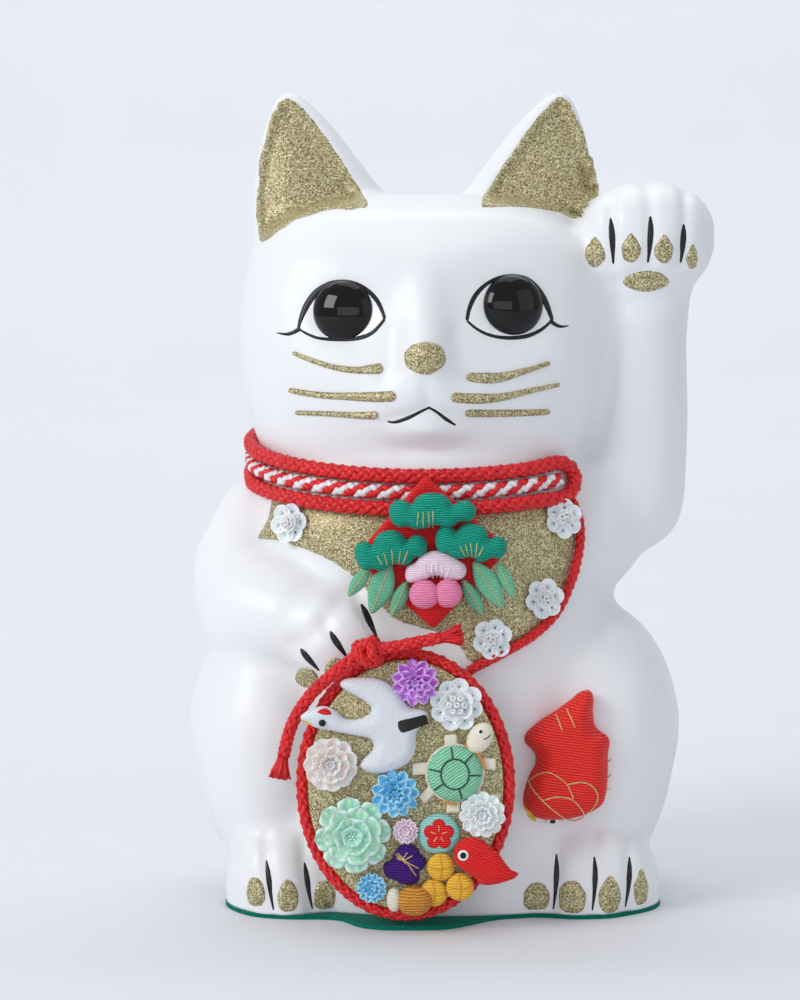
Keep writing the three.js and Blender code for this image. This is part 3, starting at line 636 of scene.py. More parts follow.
def frayed_end(line, size, seed):
    """Loose filaments past the last stitch, spreading as they go."""
    source = random.Random(seed)
    end = line[-1]
    run = (line[-1] - line[-4]).normalized()
    side = run.cross(Vector((0.1, -1, 0.2))).normalized()
    up = run.cross(side)
    fibres = []
    for _ in range(130):
        angle = source.uniform(0, TAU)
        spread = math.sqrt(source.uniform(0.02, 1))
        away = side * math.cos(angle) + up * math.sin(angle) * 0.75
        reach = source.uniform(5.0, 7.2)
        sway = source.uniform(-0.5, 0.5)
        fibre = []
        for k in range(7):
            t = k / 6
            out = (0.34 + 0.42 * t ** 1.4) * size * spread
            fibre.append(end + (run * reach * t + away * out + side * sway * t * t) * MM)
        fibres.append(fibre)
    return tubes(fibres, 0.24 * MM, 0)


RIGHT_TAIL = [
    (-14.2, 42.6, 9), (-11.8, 42.8, 9), (-9, 43, 9.1), (-6.2, 43.2, 9), (-3.2, 43.6, 8.8), (-0.2, 44.1, 8.5),
    (2.8, 44.7, 8.2), (5.8, 45.3, 8), (8.8, 45.9, 7.9), (11.6, 46.4, 7.9), (14, 46.6, 8), (16.4, 46.6, 8.2),
]
LEFT_TAIL = [
    (-13.4, 41.6, 9.4), (-16.4, 39.9, 9.3), (-19.6, 37.6, 8.9), (-22.8, 34.9, 8.2), (-25.9, 32.2, 7.3),
    (-28.7, 29.5, 6.3), (-31.2, 26.5, 5.3), (-33.4, 23.2, 4.5), (-35.3, 19.7, 4), (-36.7, 16, 3.8),
    (-37.6, 12.4, 3.7), (-38.3, 9, 3.7), (-38.9, 6, 3.8), (-39.3, 3.4, 4),
]
BOARD_CORD = 4.3
LOOP_HALF_WIDTH = 32.45
LOOP_HALF_HEIGHT = 40.95


def tail_cords():
    """The two free ends of the board's cord, each braided to the last few millimetres."""
    fray = 5.2
    for name, route, seed in (("right", RIGHT_TAIL, 3), ("left", LEFT_TAIL, 4)):
        points = [BOARD.at(*p) for p in route]
        line = resampled(spline(points, 30 * len(points)), 0.45 * MM)
        tied = line[:len(line) - round(fray / 0.45)]
        bm = joined([braid(tied, BOARD_CORD), frayed_end(tied, BOARD_CORD, seed)])
        tail = piece(f"free_tail_{name}", bm, RED_CORD, "red_cord", [f"tail_cord_{name}"])
        round(length_of(line), 4)


def board_cord():
    """The cord round the board and the knot that gathers its ends."""
    middle_w = 3
    line = []
    for k in range(480):
        angle = TAU * k / 480
        line.append(BOARD.at(LOOP_HALF_WIDTH * math.cos(angle), LOOP_HALF_HEIGHT * math.sin(angle), middle_w))
    loop = braid(resampled(line, 0.5 * MM, closed=True), BOARD_CORD, closed=True)
    piece("plaque_loop", loop, RED_CORD, "red_cord", ["plaque_edge_cord"])
    wraps = []
    for u, v, w, turn, lean, radius, squash in (
        (-9.6, 42.2, 8.6, 0.25, 1.25, 3.4, 1.0), (-12.8, 41.2, 8.6, 0.75, 1.15, 3.5, 1.0),
        (-11.2, 42.0, 9.6, -0.6, 0.35, 3.3, 0.8),
    ):
        ring_line = []
        spin = Matrix.Rotation(turn, 3, "Z") @ Matrix.Rotation(lean, 3, "Y")
        for k in range(60):
            angle = TAU * k / 60
            spot = spin @ Vector((radius * math.cos(angle), radius * squash * math.sin(angle), 0))
            ring_line.append(BOARD.at(u + spot.x, v + spot.y, w + spot.z))
        wraps.append(braid(resampled(ring_line, 0.45 * MM, closed=True), 3.9, closed=True, turn_length=11))
    piece("knot_wraps", joined(wraps), RED_CORD, "red_cord", ["plaque_knot"])


camera()
tail_cords()
board_cord()

# ---------------------------------------------------------------- the casting

EYE_LOOK = {-1: Vector((-0.26, -1, 0.1)).normalized(), 1: Vector((0.26, -1, 0.1)).normalized()}
EYE_NODE = {-1: "eye_left", 1: "eye_right"}
EYE_SET = {-1: mm(0.0, 0, -0.8), 1: mm(2.0, 0, 1.0)}    # the domes are glued a little off their seats


FELT = 1.3                       # thickness of the felt sole


def outer_skin():
    """The casting's outer surface, without the hollow and with the eye seats plugged."""
    bm = bmesh.new()
    bm.from_mesh(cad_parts["body_casting"].data)
    bmesh.ops.remove_doubles(bm, verts=bm.verts, dist=1e-6)
    low = min(v.co.z for v in bm.verts)
    rim = [f for f in bm.faces if f.normal.z < -0.95 and f.calc_center_median().z < low + 0.2 * MM]
    bmesh.ops.delete(bm, geom=rim, context="FACES")
    start = max(bm.verts, key=lambda v: v.co.z)
    outside = {start}
    queue = [start]
    while queue:
        for edge in queue.pop().link_edges:
            for vert in edge.verts:
                if vert not in outside:
                    outside.add(vert)
                    queue.append(vert)
    bmesh.ops.delete(bm, geom=[v for v in bm.verts if v not in outside], context="VERTS")
    foot = bmesh.ops.holes_fill(bm, edges=[e for e in bm.edges if e.is_boundary])["faces"]
    deeper = bmesh.ops.extrude_face_region(bm, geom=foot)["geom"]
    bmesh.ops.delete(bm, geom=foot, context="FACES_ONLY")
    bmesh.ops.translate(bm, verts=verts_of(deeper), vec=mm(0, 0, -7))
    for side, look in EYE_LOOK.items():
        turn = UP.rotation_difference(look).to_matrix().to_4x4()
        seat = Matrix.Translation(middle(EYE_NODE[side]) - look * 3.2 * MM)
        bmesh.ops.create_cone(bm, cap_ends=True, segments=32, radius1=11 * MM, radius2=11 * MM,
                              depth=6 * MM, matrix=seat @ turn)
    return bm


class Clay:
    """The casting's points in millimetres, pushed and grooved as a modeller would."""

    def __init__(self, bm):
        self.bm = bm
        self.points = np.array([v.co for v in bm.verts]) / MM
        bm.normal_update()
        self.normals = np.array([v.normal for v in bm.verts])

    def push(self, centre, radii, move):
        away = (self.points - centre) / radii
        weight = np.exp(-(away ** 2).sum(1))
        self.points += weight[:, None] * np.array(move)

    def draw_in(self, side, amount, top):
        """Narrows the haunch and foot on one side, fading out upwards."""
        x, _, z = self.points.T
        low = np.clip((top - z) / 22, 0, 1)
        outer = np.clip((side * x - 42) / 26, 0, 1)
        eased = 0.4 + 0.6 * np.clip((z - 8) / 18, 0, 1)
        self.points[:, 0] -= side * amount * eased * outer ** 2 * low * low * (3 - 2 * low)

    def round_foot(self, middle_x, half_width):
        """Rounds the outer front corner of a foot seen from above, most of all near the floor."""
        side = math.copysign(1, middle_x)
        middle_y, half_depth = -32, 28
        x, y, z = self.points.T
        u = np.clip(side * (x - middle_x) / half_width, 0, None)
        v = np.clip((middle_y - y) / half_depth, 0, None)
        square = (u ** 2.6 + v ** 2.6 + 1e-9) ** (1 / 2.6)
        plain = np.sqrt(u ** 2 + v ** 2 + 1e-9)
        low = np.clip((34 - z) / 30, 0, 1)
        factor = (square / plain) ** (1.5 * low * low)
        self.points[:, 0] = np.where(u > 0, middle_x + (x - middle_x) * factor, x)
        self.points[:, 1] = np.where(v * u > 0, middle_y + (y - middle_y) * factor, y)

    def groove(self, route, width, depth):
        """Presses in a line drawn on the front in x and z, fading across its width."""
        spots = self.points[:, [0, 2]]
        route = np.array(route, float)
        best = np.full(len(spots), 1e9)
        for a, b in zip(route, route[1:]):
            span = b - a
            t = np.clip(((spots - a) @ span) / max(span @ span, 1e-9), 0, 1)
            best = np.minimum(best, np.linalg.norm(spots - (a + t[:, None] * span), axis=1))
        weight = np.exp(-(best / width) ** 2)
        weight *= np.clip(-self.normals[:, 1] * 2 + 0.6, 0, 1)
        self.points -= (weight * depth)[:, None] * self.normals

    def done(self):
        for vert, point in zip(self.bm.verts, self.points):
            vert.co = Vector(point) * MM
        self.bm.normal_update()
        return self.bm


def ear_outline(side):
    """The recessed inside of an ear, seen from the front, in millimetres."""
    if side < 0:
        corners = [(-54.2, 208.6), (-55.6, 217), (-55.6, 226), (-53.8, 238), (-50.2, 250), (-47.2, 254.2),
                   (-43.6, 253.4), (-37.4, 247.6), (-30, 237.6), (-22.6, 225.6), (-19.8, 221), (-22.6, 219.2),
                   (-31, 218.9), (-40, 217), (-47.6, 212.8)]
    else:
        corners = [(46.6, 216.4), (37, 219), (26.4, 220.1), (18.4, 219.8), (16, 221.2), (21, 229.6),
                   (28.4, 240.4), (35, 249), (39.8, 254.2), (42.4, 255), (45, 252.4), (49.2, 243.4),
                   (52, 233.4), (53.4, 224.6), (50.6, 219.4)]
    return spline([(x, z, 0) for x, z in corners], 90, closed=True)


def recess(clay, outline, depth, soft, y_limit):
    """Sinks the front surface inside an outline, with a rounded rim."""
    distance = edge_distance(outline)
    xs = [p.x for p in outline]
    zs = [p.y for p in outline]
    x0, x1, z0, z1 = min(xs), max(xs), min(zs), max(zs)
    polygon = [(p.x, p.y) for p in outline]
    for k, (x, y, z) in enumerate(clay.points):
        if not (x0 < x < x1 and z0 < z < z1 and y < y_limit):
            continue
        if not inside(polygon, x, z):
            continue
        t = min(distance(x, z) / soft, 1)
        clay.points[k, 1] += depth * (3 * t * t - 2 * t ** 3)


def inside(polygon, x, y):
    hit = False
    for (ax, ay), (bx, by) in zip(polygon, polygon[1:] + polygon[:1]):
        if (ay > y) != (by > y) and x < (bx - ax) * (y - ay) / (by - ay) + ax:
            hit = not hit
    return hit


RAISED_CLAWS = [
    [(56.5, 216.4), (56.9, 212.0), (57.2, 207.0), (57.5, 202.0)],
    [(68.8, 217.0), (68.9, 212.7), (68.6, 207.0), (68.2, 202.4)],
    [(79.4, 214.5), (79.3, 210.2), (79.0, 205.8), (78.6, 202.4)],
]
LOWER_CLAWS = [
    [(-40.4, 83.9), (-38.9, 82.0), (-37.1, 79.9), (-34.6, 77.1)],
    [(-31.2, 89.8), (-29.7, 87.3), (-27.8, 84.5), (-25.7, 81.4)],
    [(-21.7, 97.6), (-20.2, 94.8), (-18.3, 90.8), (-16.5, 87.0)],
]
FOOT_CLAWS = [
    [(-51.2, 17.7), (-50.4, 12.5), (-49.8, 7.5), (-48.9, 2.6)],
    [(-39.4, 17.0), (-38.6, 12.5), (-37.9, 7.5), (-36.9, 2.6)],
    [(38.9, 19.5), (38.9, 14.0), (38.5, 8.0), (37.9, 2.6)],
    [(50.6, 18.9), (50.8, 14.0), (50.5, 8.0), (49.9, 2.6)],
    [(61.8, 18.0), (61.7, 13.0), (61.3, 8.0), (60.5, 2.6)],
]


def model_face(clay):
    """Brows, eye hollows, the bridge of the nose, muzzle, lip and chin."""
    clay.push((-27.3, -42, 187), (16, 14, 13), (0, 3.0, 0))
    clay.push((24, -42, 187.5), (16, 14, 13), (0, 3.0, 0))
    clay.push((-2, -46, 188), (7.2, 16, 20), (0, -3.8, 0))
    clay.push((-14, -44, 203), (9, 14, 7), (0, -1.2, 0))
    clay.push((10, -44, 203), (9, 14, 7), (0, -1.2, 0))
    clay.push((-2, -46, 175), (8, 14, 8.5), (0, -5.6, 0))
    clay.push((-2, -46, 162), (19, 16, 11), (0, -4.2, 0))
    clay.push((-11, -46, 161), (9, 14, 7), (0, -1.4, 0))
    clay.push((7.5, -46, 161), (9, 14, 7), (0, -1.4, 0))
    clay.push((-1.5, -46, 150.6), (9.5, 14, 3.6), (0, -3.2, 0))
    clay.push((-1.5, -44, 144.6), (13, 12, 3), (0, 1.6, 0))
    clay.push((-1.5, -40, 140), (14, 12, 5), (0, -1.2, 0))
    clay.groove([(-2, 168), (-1.6, 164), (-1, 158.5)], 1.5, 0.9)
    clay.groove([(-13.6, 154.2), (-7.2, 155.6), (-0.8, 158.4), (4.6, 155), (7.6, 152.8)], 1.3, 0.8)
    clay.groove([(7.4, 182), (7.2, 176), (8, 171), (11, 166.5)], 2.6, 1.0)
    clay.groove([(-11.4, 182), (-11.2, 176), (-12, 171), (-15, 166.5)], 2.6, 0.8)


def model_paws(clay):
    """Toes are parted by grooves that run over the paw from each claw."""
    top = [(57.5, 202), (56.8, 212), (56.6, 221), (58, 228)], [(68.4, 202), (69, 212), (68.8, 222), (68, 230)]
    for route in (*top, [(78.8, 202), (79.4, 211), (80, 220), (80.4, 228)]):
        clay.groove(route, 1.7, 1.5)
    for route in LOWER_CLAWS:
        (ax, az), (bx, bz) = route[0], route[-1]
        clay.groove([(ax - 0.35 * (bx - ax), az - 0.35 * (bz - az)), *route], 1.6, 1.2)
    for route in FOOT_CLAWS:
        (ax, az), (bx, _) = route[0], route[-1]
        clay.groove([(ax - 0.2 * (bx - ax), az + 6), *route], 1.9, 1.4)
    clay.push((68, -26, 197), (12, 8, 4), (0, 1.6, 0))
    clay.push((68, -24, 190), (18, 10, 4), (0, 2.0, 0))


def model_body(clay):
    """Creases where the arm leaves the cheek and the forearm folds over the chest."""
    clay.groove([(58.5, 196), (59, 180), (57, 163), (52, 147), (47, 138)], 2.6, 1.2)
    clay.groove([(-20, 104.5), (-27, 101), (-34, 92), (-40, 86)], 3.0, 1.2)
    for side, amount in ((-1, 2.6), (1, 2.0)):
        clay.draw_in(side, amount, 58)
    clay.round_foot(-46, 20)
    clay.round_foot(48, 24)


def cat_body():
    bm = remeshed(outer_skin(), 1.35 * MM)
    relax(bm, 9)
    soft = [v for v in bm.verts if v.co.z < 214 * MM]
    relax(bm, 16, 0.5, soft)
    clay = Clay(bm)
    model_body(clay)
    model_face(clay)
    model_paws(clay)
    for side in (-1, 1):
        recess(clay, ear_outline(side), 3.4, 3.0, 1.0)
    bm = clay.done()
    relax(bm, 2)
    sole = mm(0, 0, FELT)
    bmesh.ops.bisect_plane(bm, geom=everything(bm), plane_co=sole, plane_no=-UP, clear_outer=True)
    bmesh.ops.holes_fill(bm, edges=[e for e in bm.edges if e.is_boundary])
    return piece("cat_casting", bm, PEARL, "pearl_white", ["body_casting"])


CAT = cat_body()
SKIN = BVHTree.FromObject(CAT, bpy.context.evaluated_depsgraph_get())


def on_skin(x, z, lift=0.0):
    """The point of the cat's front at x and z, lifted off it, in metres, with the surface's normal."""
    hit, normal, _, _ = SKIN.ray_cast(mm(x, -140, z), -FRONT)
    if hit is None:
        hit, normal, _, _ = SKIN.find_nearest(mm(x, -30, z))
    if normal.y > 0:
        normal = -normal
    return hit + normal * lift * MM, normal


# ---------------------------------------------------------------- paint and glitter on the casting


def stroke(route, widths, lift):
    """A brush stroke on the casting: tapered, a little domed, closed underneath."""
    step, across = 0.4, 4
    centre = resampled(spline([(x, z, 0) for x, z in route], 12 * len(route)), step)
    count = len(centre) - 1
    bm = bmesh.new()
    rows = []
    for k, point in enumerate(centre):
        ahead = centre[min(k + 1, count)] - centre[max(k - 1, 0)]
        side = Vector((-ahead.y, ahead.x, 0)).normalized()
        t = k / count * (len(widths) - 1)
        i = min(int(t), len(widths) - 2)
        width = widths[i] + (widths[i + 1] - widths[i]) * (t - i)
        from_end = min(k, count - k) * step
        width *= math.sqrt(max(1 - (1 - min((from_end + 0.08) / max(0.5 * width, 0.1), 1)) ** 2, 0.01))
        row = []
        for j in range(across + 1):
            u = 2 * j / across - 1
            spot = point + side * (0.5 * width * u)
            dome = math.sqrt(max(1 - 0.97 * u * u, 0)) * min(width, 1.6) / 1.6
            row.append(bm.verts.new(on_skin(spot.x, spot.y, lift * dome)[0]))
        rows.append(row)
    for first, second in zip(rows, rows[1:]):
        for j in range(across):
            bm.faces.new((first[j], first[j + 1], second[j + 1], second[j]))
    return backed(bm)


def backed(bm, depth=0.35):
    """Closes an open film with a back that is pressed into the surface below."""
    bmesh.ops.recalc_face_normals(bm, faces=bm.faces)
    if sum(f.normal.y for f in bm.faces) > 0:
        bmesh.ops.reverse_faces(bm, faces=bm.faces)
    bmesh.ops.solidify(bm, geom=everything(bm), thickness=depth * MM)
    return bm


def film(outline, lift, cell, rim=1.6, behind=None):
    """A flat dab of paint or glitter on the casting, inside an outline seen from the front. Where the paw
    stands in front of the depth behind, the film runs on inside it."""
    bm = flat_fill(outline, cell)
    distance = edge_distance(outline)
    for vert in bm.verts:
        x, z = vert.co.x, vert.co.y
        t = min(distance(x, z) / rim, 1)
        vert.co = on_skin(x, z, lift * math.sqrt(max(1 - (1 - t) ** 2, 0)))[0]
        if behind is not None and x > 40 and vert.co.y < behind * MM:
            vert.co = mm(x, behind + 7, z)
    return backed(bm)


def ring(x, z, half_width, half_height, count, point=0.0, turn=0.0, flat=1.0):
    """An oval outline; point makes its top narrower, as a toe pad's is, and flat below 1 squares its foot."""
    result = []
    for k in range(count):
        angle = TAU * k / count
        across, rise = math.cos(angle), math.sin(angle)
        square = flat if rise < 0 else 1.0
        u = half_width * math.copysign(abs(across) ** square, across) * (1 - point * max(rise, 0))
        v = half_height * math.copysign(abs(rise) ** square, rise)
        c, s = math.cos(turn), math.sin(turn)
        result.append(Vector((x + u * c - v * s, z + u * s + v * c, 0)))
    return result


def rough_edge(outline, amount, seed):
    """Grainy unevenness along a hand-laid edge."""
    source = random.Random(seed)
    shifts = [source.uniform(-1, 1) for _ in outline]
    count = len(outline)
    result = []
    for k, p in enumerate(outline):
        blur = (shifts[k - 1] + 2 * shifts[k] + shifts[(k + 1) % count]) / 4
        q = outline[(k + 1) % count] - outline[k - 1]
        side = Vector((-q.y, q.x, 0)).normalized()
        result.append(p + side * blur * amount)
    return result


EAR_DEPTH = -13


def glitter_on_casting():
    parts = [film(rough_edge(ear_outline(side), 0.5, 5 + side), 0.45, 0.8, 1.6, depth)
             for side, depth in ((-1, None), (1, EAR_DEPTH))]
    piece("ear_glitter", joined(parts), GLITTER, "gold_glitter")
    nose = rough_edge(ring(-2, 173.6, 6.3, 5.0, 44, -0.12), 0.25, 11)
    piece("nose_glitter", film(nose, 0.8, 0.6), GLITTER, "gold_glitter")
    whiskers = [
        ([(-43.1, 174.6), (-36.9, 172.3), (-29.8, 170.3), (-22.7, 169.6), (-15.0, 170.3)],
         [1.3, 1.6, 1.7, 2.2, 3.6]),
        ([(-44.4, 162.9), (-34.5, 161.7), (-25.2, 161.5), (-17.4, 161.5), (-11.0, 161.9)],
         [1.7, 2.0, 2.2, 3.0, 3.4]),
        ([(-42.3, 155.9), (-31.4, 155.9), (-22.1, 155.6), (-16.4, 155.9)], [1.4, 1.6, 1.9, 2.7]),
        ([(10.8, 167.7), (16.6, 167.2), (21.6, 167.4), (29.0, 169.2), (36.9, 171.5)],
         [2.6, 3.4, 2.6, 1.7, 1.4]),
        ([(6.0, 161.6), (13.5, 161.0), (21.3, 161.2), (30.6, 163.0), (40.1, 164.7)],
         [3.0, 3.2, 2.3, 1.7, 1.3]),
        ([(10.4, 156.5), (21.3, 156.2), (36.9, 156.2)], [2.4, 2.3, 1.8]),
    ]
    beads = [stroke(route, widths, 0.85) for route, widths in whiskers]
    piece("whisker_glitter", joined(beads), GLITTER, "gold_glitter")
    pads = [
        (51.8, 205.8, 3.2, 4.7, 0.55), (62.8, 207.0, 3.1, 4.5, 0.5), (73.1, 206.7, 3.1, 4.6, 0.55),
        (82.3, 204.2, 2.0, 3.8, 0.55), (67.9, 196.6, 7.3, 3.3, 0.1), (-38.6, 74.4, 3.8, 3.4, 0.1),
        (-29.6, 77.8, 3.4, 4.0, 0.1), (-21.4, 84.2, 3.2, 3.6, 0.1), (-54.6, 8.0, 2.9, 4.5, 0.15),
        (-44.4, 7.4, 3.2, 4.9, 0.15), (-33.2, 7.0, 3.4, 4.6, 0.15), (32.6, 6.8, 4.0, 4.4, 0.05),
        (43.6, 7.2, 4.2, 5.0, 0.15), (55.4, 7.6, 3.5, 5.8, 0.35), (65.6, 8.4, 2.4, 5.6, 0.4),
    ]
    dabs = []
    for k, (x, z, half_width, half_height, point) in enumerate(pads):
        flat = 0.62 if z < 20 else 1.0
        edge = rough_edge(ring(x, z, half_width, half_height, 36, point, 0.0, flat), 0.3, 20 + k)
        dabs.append(film(edge, 0.6, 0.8, 1.2))
    piece("pad_glitter", joined(dabs), GLITTER, "gold_glitter")


def eye_outline(side):
    """The painted eyelids: the upper line, then the lower one, outer corner first on the left eye."""
    if side < 0:
        upper = [(-41.3, 182.0), (-40.3, 185.6), (-38.2, 190.0), (-35.4, 193.4), (-31.3, 195.9),
                 (-27.0, 196.6), (-22.7, 195.8), (-19.0, 193.4), (-16.2, 189.9), (-14.4, 185.4)]
        lower = [(-41.0, 182.0), (-38.2, 180.4), (-34.4, 179.2), (-28.3, 178.9), (-22.7, 179.4),
                 (-18.2, 181.2), (-14.4, 185.4)]
        lash = [(-40.6, 182.2), (-43.2, 180.8), (-45.3, 180.3), (-48.3, 180.7)]
    else:
        upper = [(11.0, 184.9), (11.8, 188.6), (13.6, 192.4), (16.6, 195.6), (20.6, 197.7), (24.9, 198.3),
                 (29.3, 197.3), (33.0, 194.2), (35.7, 189.8), (37.7, 184.6)]
        lower = [(11.0, 184.9), (14.2, 182.2), (18.6, 180.2), (24.3, 179.4), (29.9, 180.0), (34.4, 182.0),
                 (37.7, 184.9)]
        lash = [(36.8, 184.8), (38.6, 183.4), (40.5, 182.7), (43.0, 182.9)]
    return upper, lower, lash


def eyes():
    """Sclera, lids and the glass domes."""
    glass = black_glass()
    white = eye_white()
    lids = []
    for side in (-1, 1):
        upper, lower, lash = eye_outline(side)
        heavy = [1.0, 2.2, 2.4, 1.7, 1.3, 1.5, 1.1] if side < 0 else [1.2, 1.6, 1.3, 1.5, 2.3, 2.2, 1.3]
        lids.append(stroke(upper, heavy, 0.3))
        lids.append(stroke(lower, [0.8, 1.1, 1.4, 1.0], 0.3))
        lids.append(stroke(lash, [1.4, 1.1, 0.3], 0.3))
        almond = [(x, z, 0) for x, z in upper + lower[-2:0:-1]]
        name = "left" if side < 0 else "right"
        ball = film(spline(almond, 80, closed=True), 0.12, 0.9, 0.6)
        piece(f"sclera_{name}", ball, white, "pearl_white")
        glass_dome(side, glass)
    piece("eyelid_paint", joined(lids), BLACK, "black_paint")


def glass_dome(side, glass):
    """A cabochon: a polished dome over a short edge."""
    look = EYE_LOOK[side]
    seat = middle(EYE_NODE[side]) + EYE_SET[side]
    radius, high = 9.7, 5.4
    profile = [(0, -2.5), (radius - 0.5, -2.5), (radius, -2.0), (radius, 0)]
    for k in range(1, 13):
        angle = math.pi / 2 * k / 12
        profile.append((radius * math.cos(angle), high * math.sin(angle)))
    bm = lathe(profile, 64)
    turn = UP.rotation_difference(look).to_matrix().to_4x4()
    out, _ = on_skin(seat.x / MM, seat.z / MM)
    place = out + look * 0.2 * MM
    bm.transform(Matrix.Translation(place) @ turn)
    node = EYE_NODE[side]
    piece(f"glass_{node}", bm, glass, "eye_glass", [node])


def lathe(profile, segments):
    """A solid of revolution round local z, in millimetres in and metres out."""
    bm = bmesh.new()
    verts = [bm.verts.new(mm(r, 0, h)) for r, h in profile]
    edges = [bm.edges.new(pair) for pair in zip(verts, verts[1:])]
    bmesh.ops.spin(bm, geom=verts + edges, cent=(0, 0, 0), axis=(0, 0, 1), angle=TAU,
                   steps=segments, use_merge=True)
    bmesh.ops.remove_doubles(bm, verts=bm.verts, dist=1e-7)
    bmesh.ops.recalc_face_normals(bm, faces=bm.faces)
    return bm


def mouth_and_claws():
    left = [(-0.4, 158.5), (-3.5, 157.0), (-7.2, 155.1), (-11.2, 153.7), (-13.6, 153.9)]
    right = [(-1.0, 158.4), (1.4, 157.1), (4.5, 154.7), (7.5, 152.7)]
    lips = [stroke(left, [0.7, 0.9, 1.2, 1.1, 0.5], 0.2), stroke(right, [0.7, 0.9, 1.2, 0.6], 0.2)]
    piece("mouth_paint", joined(lips), BLACK, "black_paint")
    brushes = (
        (RAISED_CLAWS, [0.6, 1.7, 2.0, 1.7, 1.1, 0.6]), (LOWER_CLAWS, [0.7, 1.9, 2.1, 1.7, 1.1, 0.5]),
        (FOOT_CLAWS, [0.5, 1.5, 1.8, 1.3, 0.9, 0.5]),
    )
    claws = [stroke(route, widths, 0.25) for routes, widths in brushes for route in routes]
    piece("claw_paint", joined(claws), BLACK, "black_paint")


# ---------------------------------------------------------------- felt, bib and collar

COLLAR_CORD = 5.2
COLLAR_LEFT = -57.5
COLLAR_PITCH = 5.0
COLLAR_MIDDLE = 132
COLLAR_RISE = 7
NECK_AXIS = (-3, -3)


def base_felt():
    """Felt cut to the casting's foot, with a tongue forward under the board."""
    trim = 0.2
    board_low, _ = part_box("plaque_board")
    low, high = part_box("base_felt")
    outline = []
    for k in range(96):
        angle = TAU * k / 96
        way = Vector((math.cos(angle), math.sin(angle), 0))
        hit, _, _, _ = SKIN.ray_cast(mm(6, -8, 2) + way * 0.15, -way)
        spot = (hit + way * trim * MM) / MM
        tongue = math.exp(-((spot.x - board_low.x / MM - 30) / 21) ** 4) if spot.y < 0 else 0
        spot.y += (low.y / MM - spot.y) * tongue
        spot.y = max(spot.y, low.y / MM)
        outline.append(Vector((spot.x, spot.y, 0)))
    outline = spline([outline[k] for k in range(0, 96, 2)], 160, closed=True)
    bm = flat_fill(outline, 8)
    grown = bmesh.ops.extrude_face_region(bm, geom=bm.faces[:])["geom"]
    bmesh.ops.translate(bm, verts=verts_of(grown), vec=(0, 0, FELT))
    bm.transform(Matrix.Scale(MM, 4))
    area = 0.5 * abs(sum(a.x * b.y - b.x * a.y for a, b in zip(outline, outline[1:] + outline[:1])))
    felt = piece("felt_sole", bm, green_felt(), "felt_green", ["base_felt"], smooth=False)


def bib():
    """Glitter-covered panel over the chest; its top edge tucks under the collar."""
    corners = [
        (-54.6, 115.4), (-51.5, 121.0), (-48, 131.2), (-38, 130.2), (-20, 128.4), (0, 127.6), (20, 128.2),
        (36, 129.6), (42.6, 129.6), (44.4, 124), (45.1, 118), (44.3, 111.6), (41.9, 103.3), (37.6, 94.5),
        (30.9, 88.3), (22.7, 83.6), (14.9, 79.9), (11.6, 80.2), (7.4, 86.2), (0.4, 89.4), (-7, 91.4),
        (-11.6, 93.2), (-15.4, 96.6), (-19.4, 101.0), (-25.4, 106.8), (-33, 111.2), (-41, 113.9),
        (-48, 115.3),
    ]
    outline = spline([(x, z, 0) for x, z in corners], 200, closed=True)
    bm = flat_fill(outline, 1.6)
    distance = edge_distance(outline)
    thick = 1.5
    for vert in bm.verts:
        x, z = vert.co.x, vert.co.y
        t = min(distance(x, z) / 1.4, 1)
        tucked = min(max((126.5 - 0.0016 * (45 - abs(x)) ** 2 - z) / 4, 0), 1)
        lift = 0.35 + (thick - 0.35) * tucked * math.sqrt(max(1 - (1 - t) ** 2, 0))
        vert.co = on_skin(x, z, lift)[0]
    relax(bm, 2)
    area = sum(f.calc_area() for f in bm.faces)
    panel = piece("bib_glitter", backed(bm, 0.8), GLITTER, "gold_glitter", ["bib_panel"])


def bib_cord():
    """Thin braid along the bib's right and lower edge."""
    size = 3.4
    route = [
        (42.8, 127.6), (45.0, 123.4), (45.8, 118.4), (45.0, 112.2), (42.7, 103.7), (38.3, 94.6), (31.5, 88.0),
        (23.2, 83.3), (14.4, 78.9), (11.4, 77.2),
    ]
    flat = resampled(spline([(x, z, 0) for x, z in route], 200), 0.5)
    line = [on_skin(p.x, p.y, size / 2 + 0.35)[0] for p in flat]
    bm = braid(resampled(evened(line, 6), 0.45 * MM), size, turn_length=11)
    piece("bib_braid", bm, RED_CORD, "red_cord", ["bib_edge_cord"])


def evened(line, times):
    for _ in range(times):
        line = [line[0]] + [(a + 2 * b + c) / 4 for a, b, c in zip(line, line[1:], line[2:])] + [line[-1]]
    return line


def neck_line(first, last, drop, proud, count=60):
    """A run round the neck at a steady height above the skin; it is higher at the nape."""
    axis = Vector((*NECK_AXIS, 0))
    places = []
    for k in range(count + 1):
        angle = math.radians(first + (last - first) * k / count)
        z = COLLAR_MIDDLE + COLLAR_RISE * (1 + math.sin(angle)) - drop
        way = Vector((math.cos(angle), math.sin(angle), 0))
        hit, _, _, _ = SKIN.ray_cast((axis + Vector((0, 0, z))) * MM + way * 0.12, -way)
        spot = hit + way * proud * MM
        spot.x = max(spot.x, COLLAR_LEFT * MM)
        places.append(spot)
    return places


